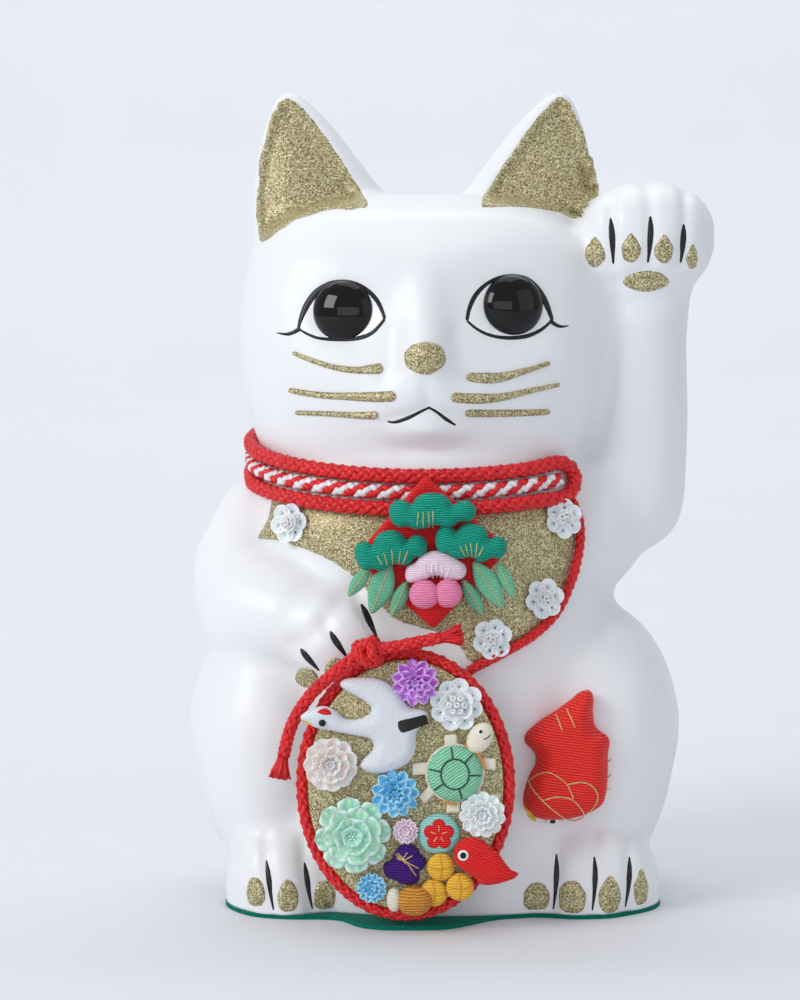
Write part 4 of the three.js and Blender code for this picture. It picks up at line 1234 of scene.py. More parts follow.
def collar():
    """A doubled red braid with a striped one between its runs."""
    proud = COLLAR_CORD / 2 + 0.1
    start, end = -35, -318
    upper = neck_line(end, start, -COLLAR_PITCH, proud)
    lower = neck_line(start, end, COLLAR_PITCH, proud)
    turn = neck_line(start + 5.6, start + 5.6, 0, proud, 1)[:1]
    red_line = evened(resampled(spline(upper[::3] + turn + lower[::3], 900), 0.55 * MM), 6)
    piece("collar_braid_red", braid(red_line, COLLAR_CORD), RED_CORD, "red_cord", ["collar_cord_red"])
    between = []
    for above, under in zip(upper[::3], reversed(lower[::3])):
        out = Vector((above.x, above.y, 0)).normalized()
        between.append((above + under) / 2 - out * 0.3 * MM)
    middle_line = evened(resampled(spline(between, 500), 0.55 * MM), 6)[:-4]
    bm = braid(middle_line, COLLAR_CORD * 0.98, marked=(0, 2, 4, 6))
    striped = piece("collar_braid_striped", bm, None, "striped_cord", ["collar_cord_striped"])
    striped.data.materials.append(RED_CORD)
    striped.data.materials.append(WHITE_CORD)


# ---------------------------------------------------------------- stuffed crepe pads


def scaled(outline, half_width, half_height, turn=0.0):
    c, s = math.cos(turn), math.sin(turn)
    return [(x * half_width * c - y * half_height * s, x * half_width * s + y * half_height * c)
            for x, y in outline]


def soft_outline(points, count):
    return spline([(x, y, 0) for x, y in points], count, closed=True)


def pillow(outline, height, soft, back=0.2, voxel=0.36, rounds=5, cell=0.7):
    """A stuffed pad in millimetres: full in the middle, closing at its outline, flatter behind."""
    bm = flat_fill(outline, cell)
    distance = edge_distance(outline)
    for vert in bm.verts:
        t = min(distance(vert.co.x, vert.co.y) / soft, 1)
        vert.co.z = height * math.sqrt(max(1 - (1 - t) ** 2, 0)) + 0.02
    under = bm.copy()
    for vert in under.verts:
        vert.co.z *= -back
    bmesh.ops.reverse_faces(under, faces=under.faces)
    bm = joined([bm, under])
    bmesh.ops.remove_doubles(bm, verts=bm.verts, dist=0.05)
    bm = remeshed(bm, voxel)
    relax(bm, rounds)
    return bm


def plumped(bm, cap):
    """Lets cloth settle over the stuffing under a little pressure; no point may move more than the cap.
    The cloth solver works better on a larger shape, so the pad is grown for it and shrunk again."""
    grow, frames = 20.0, 20
    mesh = mesh_of(bm, "filling")
    mesh.transform(Matrix.Scale(grow * MM, 4))
    start = np.array([v.co for v in mesh.vertices])
    obj = linked("filling", mesh)
    cloth = obj.modifiers.new("cloth", "CLOTH")
    cloth.settings.quality = 5
    cloth.settings.use_pressure = True
    cloth.settings.uniform_pressure_force = 4.0
    cloth.settings.tension_stiffness = 40
    cloth.settings.bending_stiffness = 2.0
    cloth.settings.effector_weights.gravity = 0
    cloth.collision_settings.use_collision = False
    cloth.point_cache.frame_start = 1
    cloth.point_cache.frame_end = frames
    for number in range(1, frames + 1):
        bpy.context.scene.frame_set(number)
    result = applied(obj, bpy.data.meshes)
    bpy.context.scene.frame_set(1)
    for vert, point in zip(result.verts, start):
        move = vert.co - Vector(point)
        limit = cap * grow * MM
        if move.length > limit:
            vert.co = Vector(point) + move.normalized() * limit
    result.transform(Matrix.Scale(1 / (grow * MM), 4))
    relax(result, 3)
    return result


def top_of(tree, x, y):
    """How high a pad stands at x and y in its own millimetres."""
    hit, _, _, _ = tree.ray_cast(Vector((x, y, 50)), Vector((0, 0, -1)))
    return hit.z if hit else 0


def stitches(bm, lines, radius, lift=0.1):
    """Threads laid over a pad in its own millimetres; both ends of each dip into the cloth."""
    tree = BVHTree.FromBMesh(bm)
    runs = []
    for line in lines:
        flat = resampled(spline([(x, y, 0) for x, y in line], 12 * len(line)), 0.35)
        run = []
        for k, spot in enumerate(flat):
            sunk = 0.5 if k in (0, len(flat) - 1) else 0
            run.append(Vector((spot.x, spot.y, top_of(tree, spot.x, spot.y) + lift - sunk)))
        runs.append(run)
    return tubes(runs, radius, 0)


def set_down(bm, plane, u, v, w):
    bm.transform(plane.matrix(u, v, w))
    return bm


CLOUD = [
    (-1, -0.2), (-0.99, 0.22), (-0.84, 0.56), (-0.62, 0.6), (-0.47, 0.44), (-0.4, 0.72), (-0.2, 0.98),
    (0, 1.02), (0.22, 0.96), (0.4, 0.68), (0.46, 0.42), (0.64, 0.58), (0.86, 0.5), (0.99, 0.18),
    (0.99, -0.24), (0.84, -0.6), (0.62, -0.62), (0.5, -0.84), (0.3, -0.94), (0.06, -0.8), (-0.18, -0.98),
    (-0.42, -1.0), (-0.58, -0.86), (-0.74, -0.92), (-0.92, -0.66),
]
CROWN = [
    (-1, -0.6), (-0.94, 0.05), (-0.66, 0.42), (-0.52, 0.72), (-0.2, 1), (0.22, 1), (0.52, 0.74), (0.72, 0.5),
    (0.94, 0.2), (1, -0.25), (0.86, -0.72), (0.42, -0.9), (0, -0.66), (-0.38, -0.94), (-0.86, -0.98),
]


def stuffed(name, bm, material, slot, replaces):
    pad = piece(name, bm, material, slot, replaces)
    return pad


def diamond():
    half_width, half_height = 24.2, 23.9
    corners = [(-2.0, half_height + 0.4), (-half_width, -1.4), (0.6, -half_height), (half_width, 1.2)]
    outline = []
    for (ax, ay), (bx, by) in zip(corners, corners[1:] + corners[:1]):
        outline += [(ax + (bx - ax) * t, ay + (by - ay) * t) for t in (0.03, 0.25, 0.5, 0.75, 0.97)]
    bm = pillow([Vector((x, y, 0)) for x, y in outline], 1.7, 1.6, 0.15, 0.4, 4, 1.2)
    set_down(bm, CHEST, 0, 0, 0.5)
    material = crepe("red_crepe_patch", *RED_CREPE, ripple=1.5)
    stuffed("diamond_card", bm, material, "red_crepe", ["diamond_patch"])


def pine_pads():
    """Three clipped-pine clouds, each with a fan of gold needles."""
    # the dark green is painted shade in the crepe's ripple troughs, the bright green a painted highlight on
    # the crests
    green = ((0.0, 0.11, 0.075), (0.001, 0.30, 0.20), (0.02, 0.47, 0.34))
    needles = {
        "top": [(-4.8, -4.4, -4.3, 0.0), (-2.8, -5.0, -2.9, 0.4), (-1.0, -5.2, -1.2, 0.4),
                (0.2, -5.3, 0.1, 0.6)],
        "left": [(-2.6, -4.4, -4.2, -1.4), (-0.9, -4.7, -2.2, -0.4), (0.6, -4.7, 0.3, 0.5),
                 (2.2, -4.6, 3.0, 0.2), (3.6, -4.2, 5.2, 0.1)],
        "right": [(-2.0, -3.9, -3.6, -0.8), (-0.8, -4.5, -2.0, 0.0), (0.2, -4.8, -0.4, 0.4),
                  (1.2, -4.6, 1.6, 0.2), (2.0, -4.2, 3.6, -0.8)],
    }
    threads = []
    places = (("top", 0.2, 13.4, 27.6, 12.2, 0.0), ("left", -12.5, 1.6, 23.4, 12.8, 0.14),
              ("right", 12.1, 3.9, 23.2, 12.8, -0.2))
    for name, x, up, width, height, turn in places:
        bm = pillow(soft_outline(scaled(CLOUD, width / 2, height / 2, turn), 90), 3.9, 3.6)
        bm = plumped(bm, 0.5)
        lines = [((ax, ay), (bx, by)) for ax, ay, bx, by in needles[name]]
        threads.append(set_down(stitches(bm, lines, 0.17), CHEST, x, up, 5.6))
        set_down(bm, CHEST, x, up, 5.6)
        stuffed(f"pine_{name}", bm, crepe(f"pine_crepe_{name}", *green, turn=turn), "green_crepe",
                [f"pine_pad_{name}"])
    piece("pine_needles", joined(threads), GOLD, "gold_thread")


def plum():
    """A pale crown with white stamens over two deep pink petals."""
    pale = crepe("pale_pink_crepe", srgb(214, 176, 198), srgb(240, 214, 230), srgb(252, 238, 246))
    deep = crepe("pink_crepe", srgb(214, 92, 142), srgb(238, 132, 172), srgb(250, 176, 204))
    for name, x, up, half_width, half_height in (("left", -2.3, -11.9, 4.8, 4.6),
                                                 ("right", 5.0, -11.6, 4.4, 4.6)):
        bm = pillow(ring(0, 0, half_width, half_height, 40), 3.4, 3.2)
        set_down(bm, CHEST, x, up, 7.6)
        stuffed(f"plum_lobe_{name}", bm, deep, "pink_crepe", [f"plum_petal_{name}"])
    bm = pillow(soft_outline(scaled(CROWN, 9.8, 5.0), 80), 3.4, 3.4)
    bm = plumped(bm, 0.5)
    stamens = [
        ((-2.6, -3.6), (-3.2, -1.5), (-3.4, 0.8)), ((-0.8, -3.6), (-1.2, -1.4), (-1.3, 1.2)),
        ((0.4, -3.4), (0.2, -1.0), (0.3, 1.6)), ((1.5, -3.6), (1.8, -1.4), (2.0, 0.8)),
        ((2.8, -3.8), (3.6, -1.8), (4.3, 0.2)),
    ]
    threads = set_down(stitches(bm, stamens, 0.3), CHEST, 1.2, -3.6, 5.9)
    set_down(bm, CHEST, 1.2, -3.6, 5.9)
    stuffed("plum_top", bm, pale, "pale_pink_crepe", ["plum_crown"])
    piece("plum_stamens", threads, WHITE_CORD, "white_crepe")


def bamboo():
    """Six pointed leaves with a gold rib, three to a side."""
    # the dark green is painted shade in the crepe's ripple troughs, the bright green a painted highlight on
    # the crests
    leaf_green = ((0.045, 0.28, 0.16), (0.15, 0.53, 0.33), (0.36, 0.74, 0.52))
    blade = [(0, 1), (-0.62, 0.66), (-0.98, 0.2), (-0.86, -0.3), (-0.42, -0.78), (0, -1), (0.42, -0.78),
             (0.86, -0.3), (0.98, 0.2), (0.62, 0.66)]
    leaves = [
        (-22.4, -8.6, -0.62, 11.5, 4.8, 3.4), (-15.6, -10.6, -0.36, 17.0, 8.0, 3.9),
        (-9.9, -13.8, -0.42, 12.5, 5.0, 3.3), (12.6, -13.4, 0.52, 13.6, 4.6, 3.3),
        (17.4, -9.4, 0.56, 17.6, 7.2, 3.9), (22.8, -8.2, 0.46, 13.4, 4.4, 3.4),
    ]
    ribs = []
    for number, (x, up, turn, length, width, base) in enumerate(leaves, 1):
        bm = pillow(soft_outline(scaled(blade, width / 2, length / 2, turn), 60), 1.35, 1.7, voxel=0.3,
                    cell=0.6)
        c, s = math.cos(turn), math.sin(turn)
        rib = [(-y * s, y * c) for y in (0.44 * length, 0.2 * length, 0, -0.2 * length, -0.46 * length)]
        ribs.append(set_down(stitches(bm, [rib], 0.15), CHEST, x, up, base))
        set_down(bm, CHEST, x, up, base)
        material = crepe(f"leaf_crepe_{number}", *leaf_green, turn=turn * 0.6, ripple=1.6)
        stuffed(f"bamboo_blade_{number}", bm, material, "leaf_crepe", [f"bamboo_leaf_{number}"])
    piece("bamboo_ribs", joined(ribs), GOLD, "gold_thread")


# ---------------------------------------------------------------- sequins


def sequin(radius):
    """A cup sequin in millimetres: faceted dish with a pierced middle."""
    profile = [(0.32, 0.10), (0.34, 0.0), (0.62 * radius, 0.02), (0.86 * radius, 0.34), (radius, 0.74),
               (radius - 0.06, 0.84), (0.84 * radius, 0.46), (0.6 * radius, 0.14), (0.32, 0.10)]
    return shell(profile, 14)


def shell(profile, segments):
    bm = lathe(profile, segments)
    bm.transform(Matrix.Scale(1 / MM, 4))
    return bm


def seed_bead(radius):
    profile = []
    for k in range(9):
        angle = TAU * k / 8
        profile.append((0.62 * radius + 0.4 * radius * math.cos(angle), 0.5 * radius * math.sin(angle)))
    return shell(profile, 10)


def sequin_flower(rings, bead_spots, sequin_radius, seed):
    """Rings of cups (count, distance from the middle, height, lean) and a cluster of clear beads."""
    source = random.Random(seed)
    cups = []
    for count, reach, height, lean in rings:
        start = source.uniform(0, TAU)
        for k in range(count):
            angle = start + TAU * k / count + source.uniform(-0.09, 0.09)
            tip = lean + source.uniform(-0.12, 0.12)
            radius = sequin_radius * source.uniform(0.95, 1.04)
            cup = sequin(radius)
            turn = Matrix.Rotation(angle, 4, "Z") @ Matrix.Translation((reach, 0, height))
            cup.transform(turn @ Matrix.Rotation(-tip, 4, "Y"))
            cups.append(cup)
    beads = []
    for spot in bead_spots:
        bead = seed_bead(1.15)
        nod, roll = (Matrix.Rotation(source.uniform(-0.7, 0.7), 4, axis) for axis in "XY")
        bead.transform(Matrix.Translation(spot) @ (nod @ roll))
        beads.append(bead)
    return joined(cups), joined(beads)


def spread(count, reach, height, start=0.0):
    return [(reach * math.cos(start + TAU * k / count), reach * math.sin(start + TAU * k / count), height)
            for k in range(count)]


def sequin_flowers():
    film_material = sequin_film()
    bead_material = clear_bead()
    small = [(1, -42.4, 121.3), (2, 39.5, 122.2), (3, 33.7, 98.5), (4, 18.1, 86.9)]
    for number, x, z in small:
        cups, beads = sequin_flower([(6, 3.6, 0.5, 0.08), (1, 0.2, 1.7, 0.1)],
                                    spread(5, 1.3, 2.3, 0.5) + [(0, 0, 2.9)], 2.9, number)
        place, normal = on_skin(x, z, 2.4)
        normal = (normal + Vector((0, -0.8, 0.05))).normalized()
        turn = UP.rotation_difference(normal).to_matrix().to_4x4()
        where = Matrix.Translation(place) @ turn @ Matrix.Scale(MM, 4)
        cups.transform(where)
        beads.transform(where)
        piece(f"sequin_cups_{number}", cups, film_material, "sequin", [f"sequin_flower_{number}"])
        piece(f"seed_beads_{number}", beads, bead_material, "sequin")
    cups, beads = sequin_flower([(8, 5.6, 0.7, 0.16), (5, 3.0, 2.0, 0.3)],
                                spread(6, 2.3, 3.4) + [(0, 0, 3.8)], 3.0, 9)
    beads.transform(BOARD.matrix(16.0, 25.4, 6.6))
    cups.transform(BOARD.matrix(16.0, 25.4, 6.6))
    piece("sequin_cups_large", cups, film_material, "sequin", ["sequin_flower_large"])
    piece("seed_beads_large", beads, bead_material, "sequin")


# ---------------------------------------------------------------- resin flowers


def petal(length, width, cup, point, curl, ruffle):
    """One petal in millimetres, from its root at the origin along x; point 1 is sharp, 0 is round."""
    bm = bmesh.new()
    bmesh.ops.create_grid(bm, x_segments=8, y_segments=6, size=0.5)
    for vert in bm.verts:
        t = vert.co.x + 0.5
        s = vert.co.y * 2
        swell = ((t + 0.12) / 1.12) ** 0.55
        close = max(1 - t ** (2.0 + 1.6 * (1 - point)), 0) ** (0.42 + 0.45 * point)
        half = 0.66 * width * max(swell * close, 0.02)
        vert.co.x = length * t
        vert.co.y = s * half
        vert.co.z = cup * s * s * half / width * 1.6 + curl * t * t + ruffle * math.cos(3 * math.pi * s) * t
    bmesh.ops.recalc_face_normals(bm, faces=bm.faces)
    bmesh.ops.solidify(bm, geom=everything(bm), thickness=0.34)
    return bm


def resin_flower(layers, heart, seed):
    """Layers are (count, root distance, height, length, width, lean, cup, point, curl, ruffle)."""
    source = random.Random(seed)
    parts = []
    for number, (count, root, height, length, width, lean, cup, point, curl, ruffle) in enumerate(layers):
        for k in range(count):
            angle = TAU * (k + 0.5 * (number % 2)) / count + source.uniform(-0.03, 0.03)
            leaf = petal(length, width, cup, point, curl, ruffle)
            rise = Matrix.Rotation(-lean + source.uniform(-0.04, 0.04), 4, "Y")
            leaf.transform(Matrix.Rotation(angle, 4, "Z") @ Matrix.Translation((root, 0, height)) @ rise)
            parts.append(leaf)
    outer_root, base_height = layers[0][1], layers[0][2]
    seat = shell([(0, 0), (outer_root + 1.2, 0), (outer_root + 0.6, base_height),
                  (layers[-1][1] + 0.4, layers[-1][2]), (0, layers[-1][2] + 0.3)], 24)
    parts.append(seat)
    for x, y, z, radius in heart:
        ball = bmesh.new()
        bmesh.ops.create_icosphere(ball, subdivisions=2, radius=radius, matrix=Matrix.Translation((x, y, z)))
        parts.append(ball)
    return joined(parts)


def dahlia(radius, sharp):
    r = radius
    layers = [
        (11, 0.30 * r, 0.8, 0.74 * r, 0.60 * r, 0.16, 1.5, sharp, 0.5, 0),
        (9, 0.22 * r, 1.7, 0.58 * r, 0.50 * r, 0.45, 1.5, sharp, 0.2, 0),
        (8, 0.12 * r, 2.5, 0.44 * r, 0.36 * r, 0.72, 1.2, sharp, 0.1, 0),
        (6, 0.04 * r, 3.0, 0.30 * r, 0.24 * r, 1.0, 0.8, sharp, 0, 0),
    ]
    return layers, [(0.0, 0.0, 3.5, 0.08 * r)]


def rose(radius):
    r = radius
    layers = [
        (8, 0.34 * r, 1.0, 0.66 * r, 0.62 * r, 0.10, 1.3, 0.0, 0.9, 0.36),
        (7, 0.24 * r, 2.6, 0.56 * r, 0.58 * r, 0.34, 1.4, 0.0, 0.3, 0.34),
        (6, 0.12 * r, 3.9, 0.46 * r, 0.50 * r, 0.62, 1.4, 0.0, 0.0, 0.26),
        (5, 0.05 * r, 5.0, 0.32 * r, 0.38 * r, 0.85, 1.0, 0.0, 0.0, 0.15),
    ]
    heart = [(x, y, z, 0.42) for x, y, z in spread(6, 1.0, 6.1) + [(0, 0, 6.4)] + spread(8, 1.8, 5.8, 0.3)]
    return layers, heart


def mum(radius):
    r = radius
    layers = [
        (12, 0.42 * r, 0.7, 0.60 * r, 0.42 * r, 0.35, 1.0, 0.1, 0.3, 0),
        (9, 0.26 * r, 1.4, 0.50 * r, 0.40 * r, 0.7, 1.0, 0.1, 0.1, 0),
        (6, 0.12 * r, 1.9, 0.42 * r, 0.36 * r, 1.0, 0.8, 0.1, 0, 0),
    ]
    return layers, [(0.0, 0.0, 2.3, 0.14 * r)]


def resin_flowers():
    # each resin's first colour is its painted shade in creases and its last its painted light at the thin
    # edges
    purple = resin("purple_resin", srgb(176, 92, 196), srgb(214, 140, 234), srgb(240, 196, 252))
    peach = resin("peach_resin", srgb(254, 228, 221), srgb(255, 240, 235), srgb(255, 249, 247), 0.4)
    blue = resin("blue_resin", srgb(78, 178, 228), srgb(130, 214, 250), srgb(196, 238, 255))
    mint = resin("mint_resin", srgb(158, 222, 194), srgb(196, 244, 220), srgb(226, 252, 240), 0.35)
    pink = resin("pink_resin", srgb(252, 208, 230), srgb(255, 226, 241), srgb(255, 240, 248))
    white = resin("white_resin", srgb(246, 248, 248), srgb(253, 254, 253), srgb(255, 255, 255), 0.35)
    flowers = [
        ("dahlia_purple", 3.0, 32.4, 7.5, dahlia, purple, 1.15),
        ("dahlia_peach", -23.4, 6.8, 8.6, dahlia, peach, 1.2),
        ("dahlia_blue", -3.2, -2.4, 7.6, dahlia, blue, 1.25),
        ("rose_mint", -16.5, -15.4, 12.2, rose, mint, 1.0),
        ("mum_pink", 0.0, -14.2, 4.4, mum, pink, 1.2),
        ("dahlia_white", 24.0, -9.0, 7.4, dahlia, white, 1.15),
        ("mum_blue", -10.6, -32.0, 5.1, mum, blue, 1.1),
    ]
    for number, (node, u, v, radius, kind, material, tall) in enumerate(flowers):
        sharp = {"dahlia_peach": 0.1, "dahlia_white": 0.35}.get(node, 0.6)
        layers, heart = dahlia(radius, sharp) if kind is dahlia else kind(radius)
        bm = resin_flower(layers, heart, 30 + number)
        bm.transform(BOARD.matrix(u, v, 6.2, 0.3 * number) @ Matrix.Diagonal((1, 1, tall, 1)))
        piece(f"{node}_bloom", bm, material, node.split("_")[1] + "_resin", [node])


# ---------------------------------------------------------------- ornaments on the board


def board_slab():
    """The oval card under the ornaments, glittered on its face and edge."""
    half_width, half_height, thick = 30.7, 39.2, 6.0
    profile = [(0, 0), (half_width - 0.3, 0), (half_width, 0.4), (half_width, thick - 0.6),
               (half_width - 0.25, thick - 0.18), (half_width - 0.8, thick), (0, thick)]
    bm = shell(profile, 120)
    bm.transform(BOARD.matrix() @ Matrix.Diagonal((1, half_height / half_width, 1, 1)))
    piece("board_glitter", bm, GLITTER, "gold_glitter", ["plaque_board"])


def on_board(name, outline, u, v, w, height, soft, material, slot, replaces, swell=0.0, **shape):
    """A crepe pad set on the board; threads can be stitched to the local shape that it returns."""
    bm = pillow(outline, height, soft, **shape)
    if swell:
        bm = plumped(bm, swell)
    local = bm.copy()
    stuffed(name, set_down(bm, BOARD, u, v, w), material, slot, replaces)
    return local


def thread_on(local, lines, u, v, w, radius):
    return set_down(stitches(local, lines, radius), BOARD, u, v, w)


def crane():
    """A white crane in flight: bead eye, red crown, yellow under the beak, black satin stitch on the tail."""
    # the bluish deep stop is painted shade in the crepe's ripple troughs, the near-white bright stop a
    # painted highlight on the crests
    white = crepe("white_crepe", srgb(206, 212, 224), srgb(232, 236, 244), srgb(250, 251, 254), turn=0.5,
                  ripple=1.9)
    points = [
        (-33.6, 21.6), (-30.4, 24.0), (-26.2, 25.2), (-22.4, 23.8), (-19.3, 21.2), (-15.6, 20.8),
        (-12.3, 22.2), (-11.3, 24.4), (-14.6, 27.6), (-18.2, 29.6), (-20.8, 32.0), (-19.2, 33.9),
        (-14.6, 34.4), (-9.0, 34.1), (-4.8, 32.3), (-1.2, 28.6), (1.2, 25.4), (3.8, 24.4), (6.6, 23.8),
        (7.8, 21.8), (7.2, 19.6), (4.6, 17.6), (3.8, 15.4), (3.8, 12.4), (3.0, 9.4), (0.7, 6.4),
        (-3.6, 4.2), (-9.0, 3.3), (-12.8, 4.2), (-14.6, 6.0), (-13.0, 8.4), (-10.8, 11.0), (-10.6, 13.2),
        (-12.4, 14.8), (-15.8, 15.5), (-20.6, 16.4), (-25.0, 17.3), (-28.4, 18.0), (-31.0, 19.4),
    ]
    w = 7.4
    local = on_board("crane_body", soft_outline(points, 150), 0, 0, w, 4.0, 3.8, white, "white_crepe",
                     ["crane"], swell=0.4, cell=0.8)
    crown = [(-27.6, 23.4), (-25.4, 24.4), (-23.6, 23.6), (-23.2, 22.6), (-24.8, 22.4), (-26.6, 22.8)]
    beak = [(-33.0, 21.0), (-31.0, 20.3), (-29.4, 19.6), (-29.6, 18.9), (-31.2, 19.4)]
    patch = [(-2.2, 20.3), (2.0, 21.4), (6.2, 22.2), (6.6, 19.6), (2.6, 18.2), (-1.4, 17.2)]
    piece("crane_crown", dab(local, crown, 0.35, w), crepe("crown_crepe", *RED_CREPE), "red_crepe")
    piece("crane_beak", dab(local, beak, 0.25, w), yellow_cloth(), "yellow_crepe")
    rows = []
    count = 15
    for k in range(count):
        t = k / (count - 1)
        jog = 0.45 if k % 2 else -0.2
        rows.append(((-2.2 + 0.9 * t - jog, 20.4 - 3.4 * t), (6.2 + 0.5 * t + jog, 22.3 - 3.0 * t)))
    base = dab(local, patch, 0.12, w)
    satin = thread_on(local, rows, 0, 0, w, 0.19)
    piece("crane_satin", joined([base, satin]), BLACK_THREAD, "black_paint")
    eye = bmesh.new()
    x, y = -26.0, 19.9
    bmesh.ops.create_uvsphere(eye, u_segments=20, v_segments=12, radius=1.15,
                              matrix=Matrix.Translation((x, y, top_of(BVHTree.FromBMesh(local), x, y))))
    piece("crane_eye", set_down(eye, BOARD, 0, 0, w), BEAD_BLACK, "eye_glass")


def dab(local, points, lift, w, u=0, v=0):
    """A small flat patch that follows a pad's surface."""
    tree = BVHTree.FromBMesh(local)
    outline = soft_outline(points, 40)
    bm = flat_fill(outline, 0.4)
    distance = edge_distance(outline)
    for vert in bm.verts:
        t = min(distance(vert.co.x, vert.co.y) / 0.5, 1)
        top = top_of(tree, vert.co.x, vert.co.y)
        vert.co.z = top + lift * math.sqrt(max(1 - (1 - t) ** 2, 0)) + 0.03
    return set_down(lined(bm, 0.3), BOARD, u, v, w)


def lined(bm, thickness):
    """Gives an open patch a back."""
    bmesh.ops.recalc_face_normals(bm, faces=bm.faces)
    if sum(f.normal.z for f in bm.faces) < 0:
        bmesh.ops.reverse_faces(bm, faces=bm.faces)
    bmesh.ops.solidify(bm, geom=everything(bm), thickness=thickness)
    return bm


def turtle():
    """Ribbed mint shell with stitched plates, cream felt legs and a stuffed head."""
    u, v = 15.4, 3.9
    cream = crepe("cream_felt", srgb(214, 204, 180), srgb(236, 229, 208), srgb(247, 243, 230), ripple=2.2,
                  depth=0.06)
    legs = [
        ((-10.6, 1.4), 5.6, 3.8, 0.1), ((10.6, 2.9), 4.6, 3.6, -0.05), ((-1.2, 9.8), 4.2, 4.8, 0.1),
        ((-8.6, -6.6), 5.6, 3.2, 0.75), ((-0.4, -10.2), 4.4, 4.4, 0.0), ((8.4, -7.4), 4.6, 3.0, -0.7),
    ]
    parts = []
    for (x, y), wide, high, turn in legs:
        half = [(-0.5, -0.5), (-0.5, 0.0), (-0.46, 0.48), (0, 0.5), (0.46, 0.48), (0.5, 0), (0.5, -0.5),
                (0, -0.52)]
        bm = pillow(soft_outline(scaled(half, wide, high, turn), 30), 0.7, 0.5, 0.3, 0.25, 3, 0.5)
        parts.append(set_down(bm, BOARD, u + x, v + y, 7.0))
    rim = pillow(ring(0, 0, 9.5, 9.5, 60), 0.9, 1.0, 0.3, 0.35, 4)
    parts.append(set_down(rim, BOARD, u, v, 7.0))
    limbs = piece("turtle_felt", joined(parts), cream, "cream_crepe", ["turtle_limbs"])
    mint = crepe("mint_crepe", srgb(84, 160, 124), srgb(136, 208, 168), srgb(180, 234, 204), turn=0.62,
                 ripple=1.25, depth=0.2)
    shell_pad = on_board("turtle_dome", ring(0, 0, 8.9, 8.9, 60), u, v, 7.9, 3.6, 5.2, mint, "mint_crepe",
                         ["turtle_shell"])
    plates = [[(4.4 * math.cos(TAU * k / 24), 4.7 * math.sin(TAU * k / 24)) for k in range(25)]]
    for degrees in (98, 48, -4, -74, -142, 170):
        c, s = math.cos(math.radians(degrees)), math.sin(math.radians(degrees))
        plates.append([(4.5 * c, 4.7 * s), (8.3 * c, 8.3 * s)])
    piece("turtle_plates", thread_on(shell_pad, plates, u, v, 7.9, 0.26), DARK_GREEN_THREAD, "green_crepe")
    head = on_board("turtle_face", ring(0, 0, 3.9, 5.4, 40, 0, -0.55), 23.2, 15.0, 8.0, 3.0, 3.0, cream,
                    "cream_crepe", ["turtle_head"], cell=0.5)
    smile = [(0.9, -0.3), (2.2, 0.2), (3.5, 1.2)]
    piece("turtle_smile", thread_on(head, [smile], 23.2, 15.0, 8.0, 0.16), BLACK_THREAD, "black_paint")
    eye_on(head, 23.2, 15.0, 8.0, 0.2, 2.2, 0.95, "turtle_eye")
    arcs = [[(9.5 * math.cos(math.radians(d)), 9.5 * math.sin(math.radians(d))) for d in range(8, 80, 8)],
            [(9.5 * math.cos(math.radians(d)), 9.5 * math.sin(math.radians(d))) for d in range(246, 275, 7)]]
    bm = tubes([[Vector((x, y, 1.2)) for x, y in arc] for arc in arcs], 0.42, 1)
    piece("turtle_orange_thread", set_down(bm, BOARD, u, v, 7.6), ORANGE_THREAD, "yellow_crepe")


def eye_on(local, u, v, w, x, y, radius, name):
    """A white disc with a black pupil."""
    top = top_of(BVHTree.FromBMesh(local), x, y)
    for part, size, lift, material, slot in (("white", radius, 0.1, EYE_PAINT, "white_crepe"),
                                             ("pupil", 0.6 * radius, 0.32, BEAD_BLACK, "eye_glass")):
        bm = shell([(0, -0.4), (size * 0.96, -0.4), (size, 0), (size * 0.8, 0.2), (0, 0.28)], 20)
        bm.transform(Matrix.Translation((x, y, top + lift)))
        piece(f"{name}_{part}", set_down(bm, BOARD, u, v, w), material, slot)


def emblem():
    """An aqua disc with a plain red five-petalled blossom sewn on."""
    aqua = crepe("aqua_crepe", srgb(108, 178, 170), srgb(150, 212, 204), srgb(190, 234, 228))
    u, v, w = 10.4, -15.2, 6.5
    local = on_board("emblem_pad", ring(0, 0, 6.9, 6.7, 50), u, v, w, 2.0, 2.6, aqua, "aqua_crepe",
                     ["emblem_disc"])
    blossom = []
    for k in range(60):
        angle = TAU * k / 60
        r = 4.9 * (0.70 + 0.30 * abs(math.cos(2.5 * angle)) ** 0.7)
        blossom.append((r * math.sin(angle), r * math.cos(angle)))
    bm = dab(local, blossom, 0.5, w, u, v)
    piece("emblem_blossom", bm, crepe("blossom_crepe", *RED_CREPE), "red_crepe")
    veins = [[(0.8 * math.sin(a), 0.8 * math.cos(a)), (3.0 * math.sin(a), 3.0 * math.cos(a))]
             for a in (TAU * k / 5 for k in range(5))]
    piece("emblem_stitches", set_down(stitches(local, veins, 0.17, 0.6), BOARD, u, v, w), GOLD, "gold_thread")


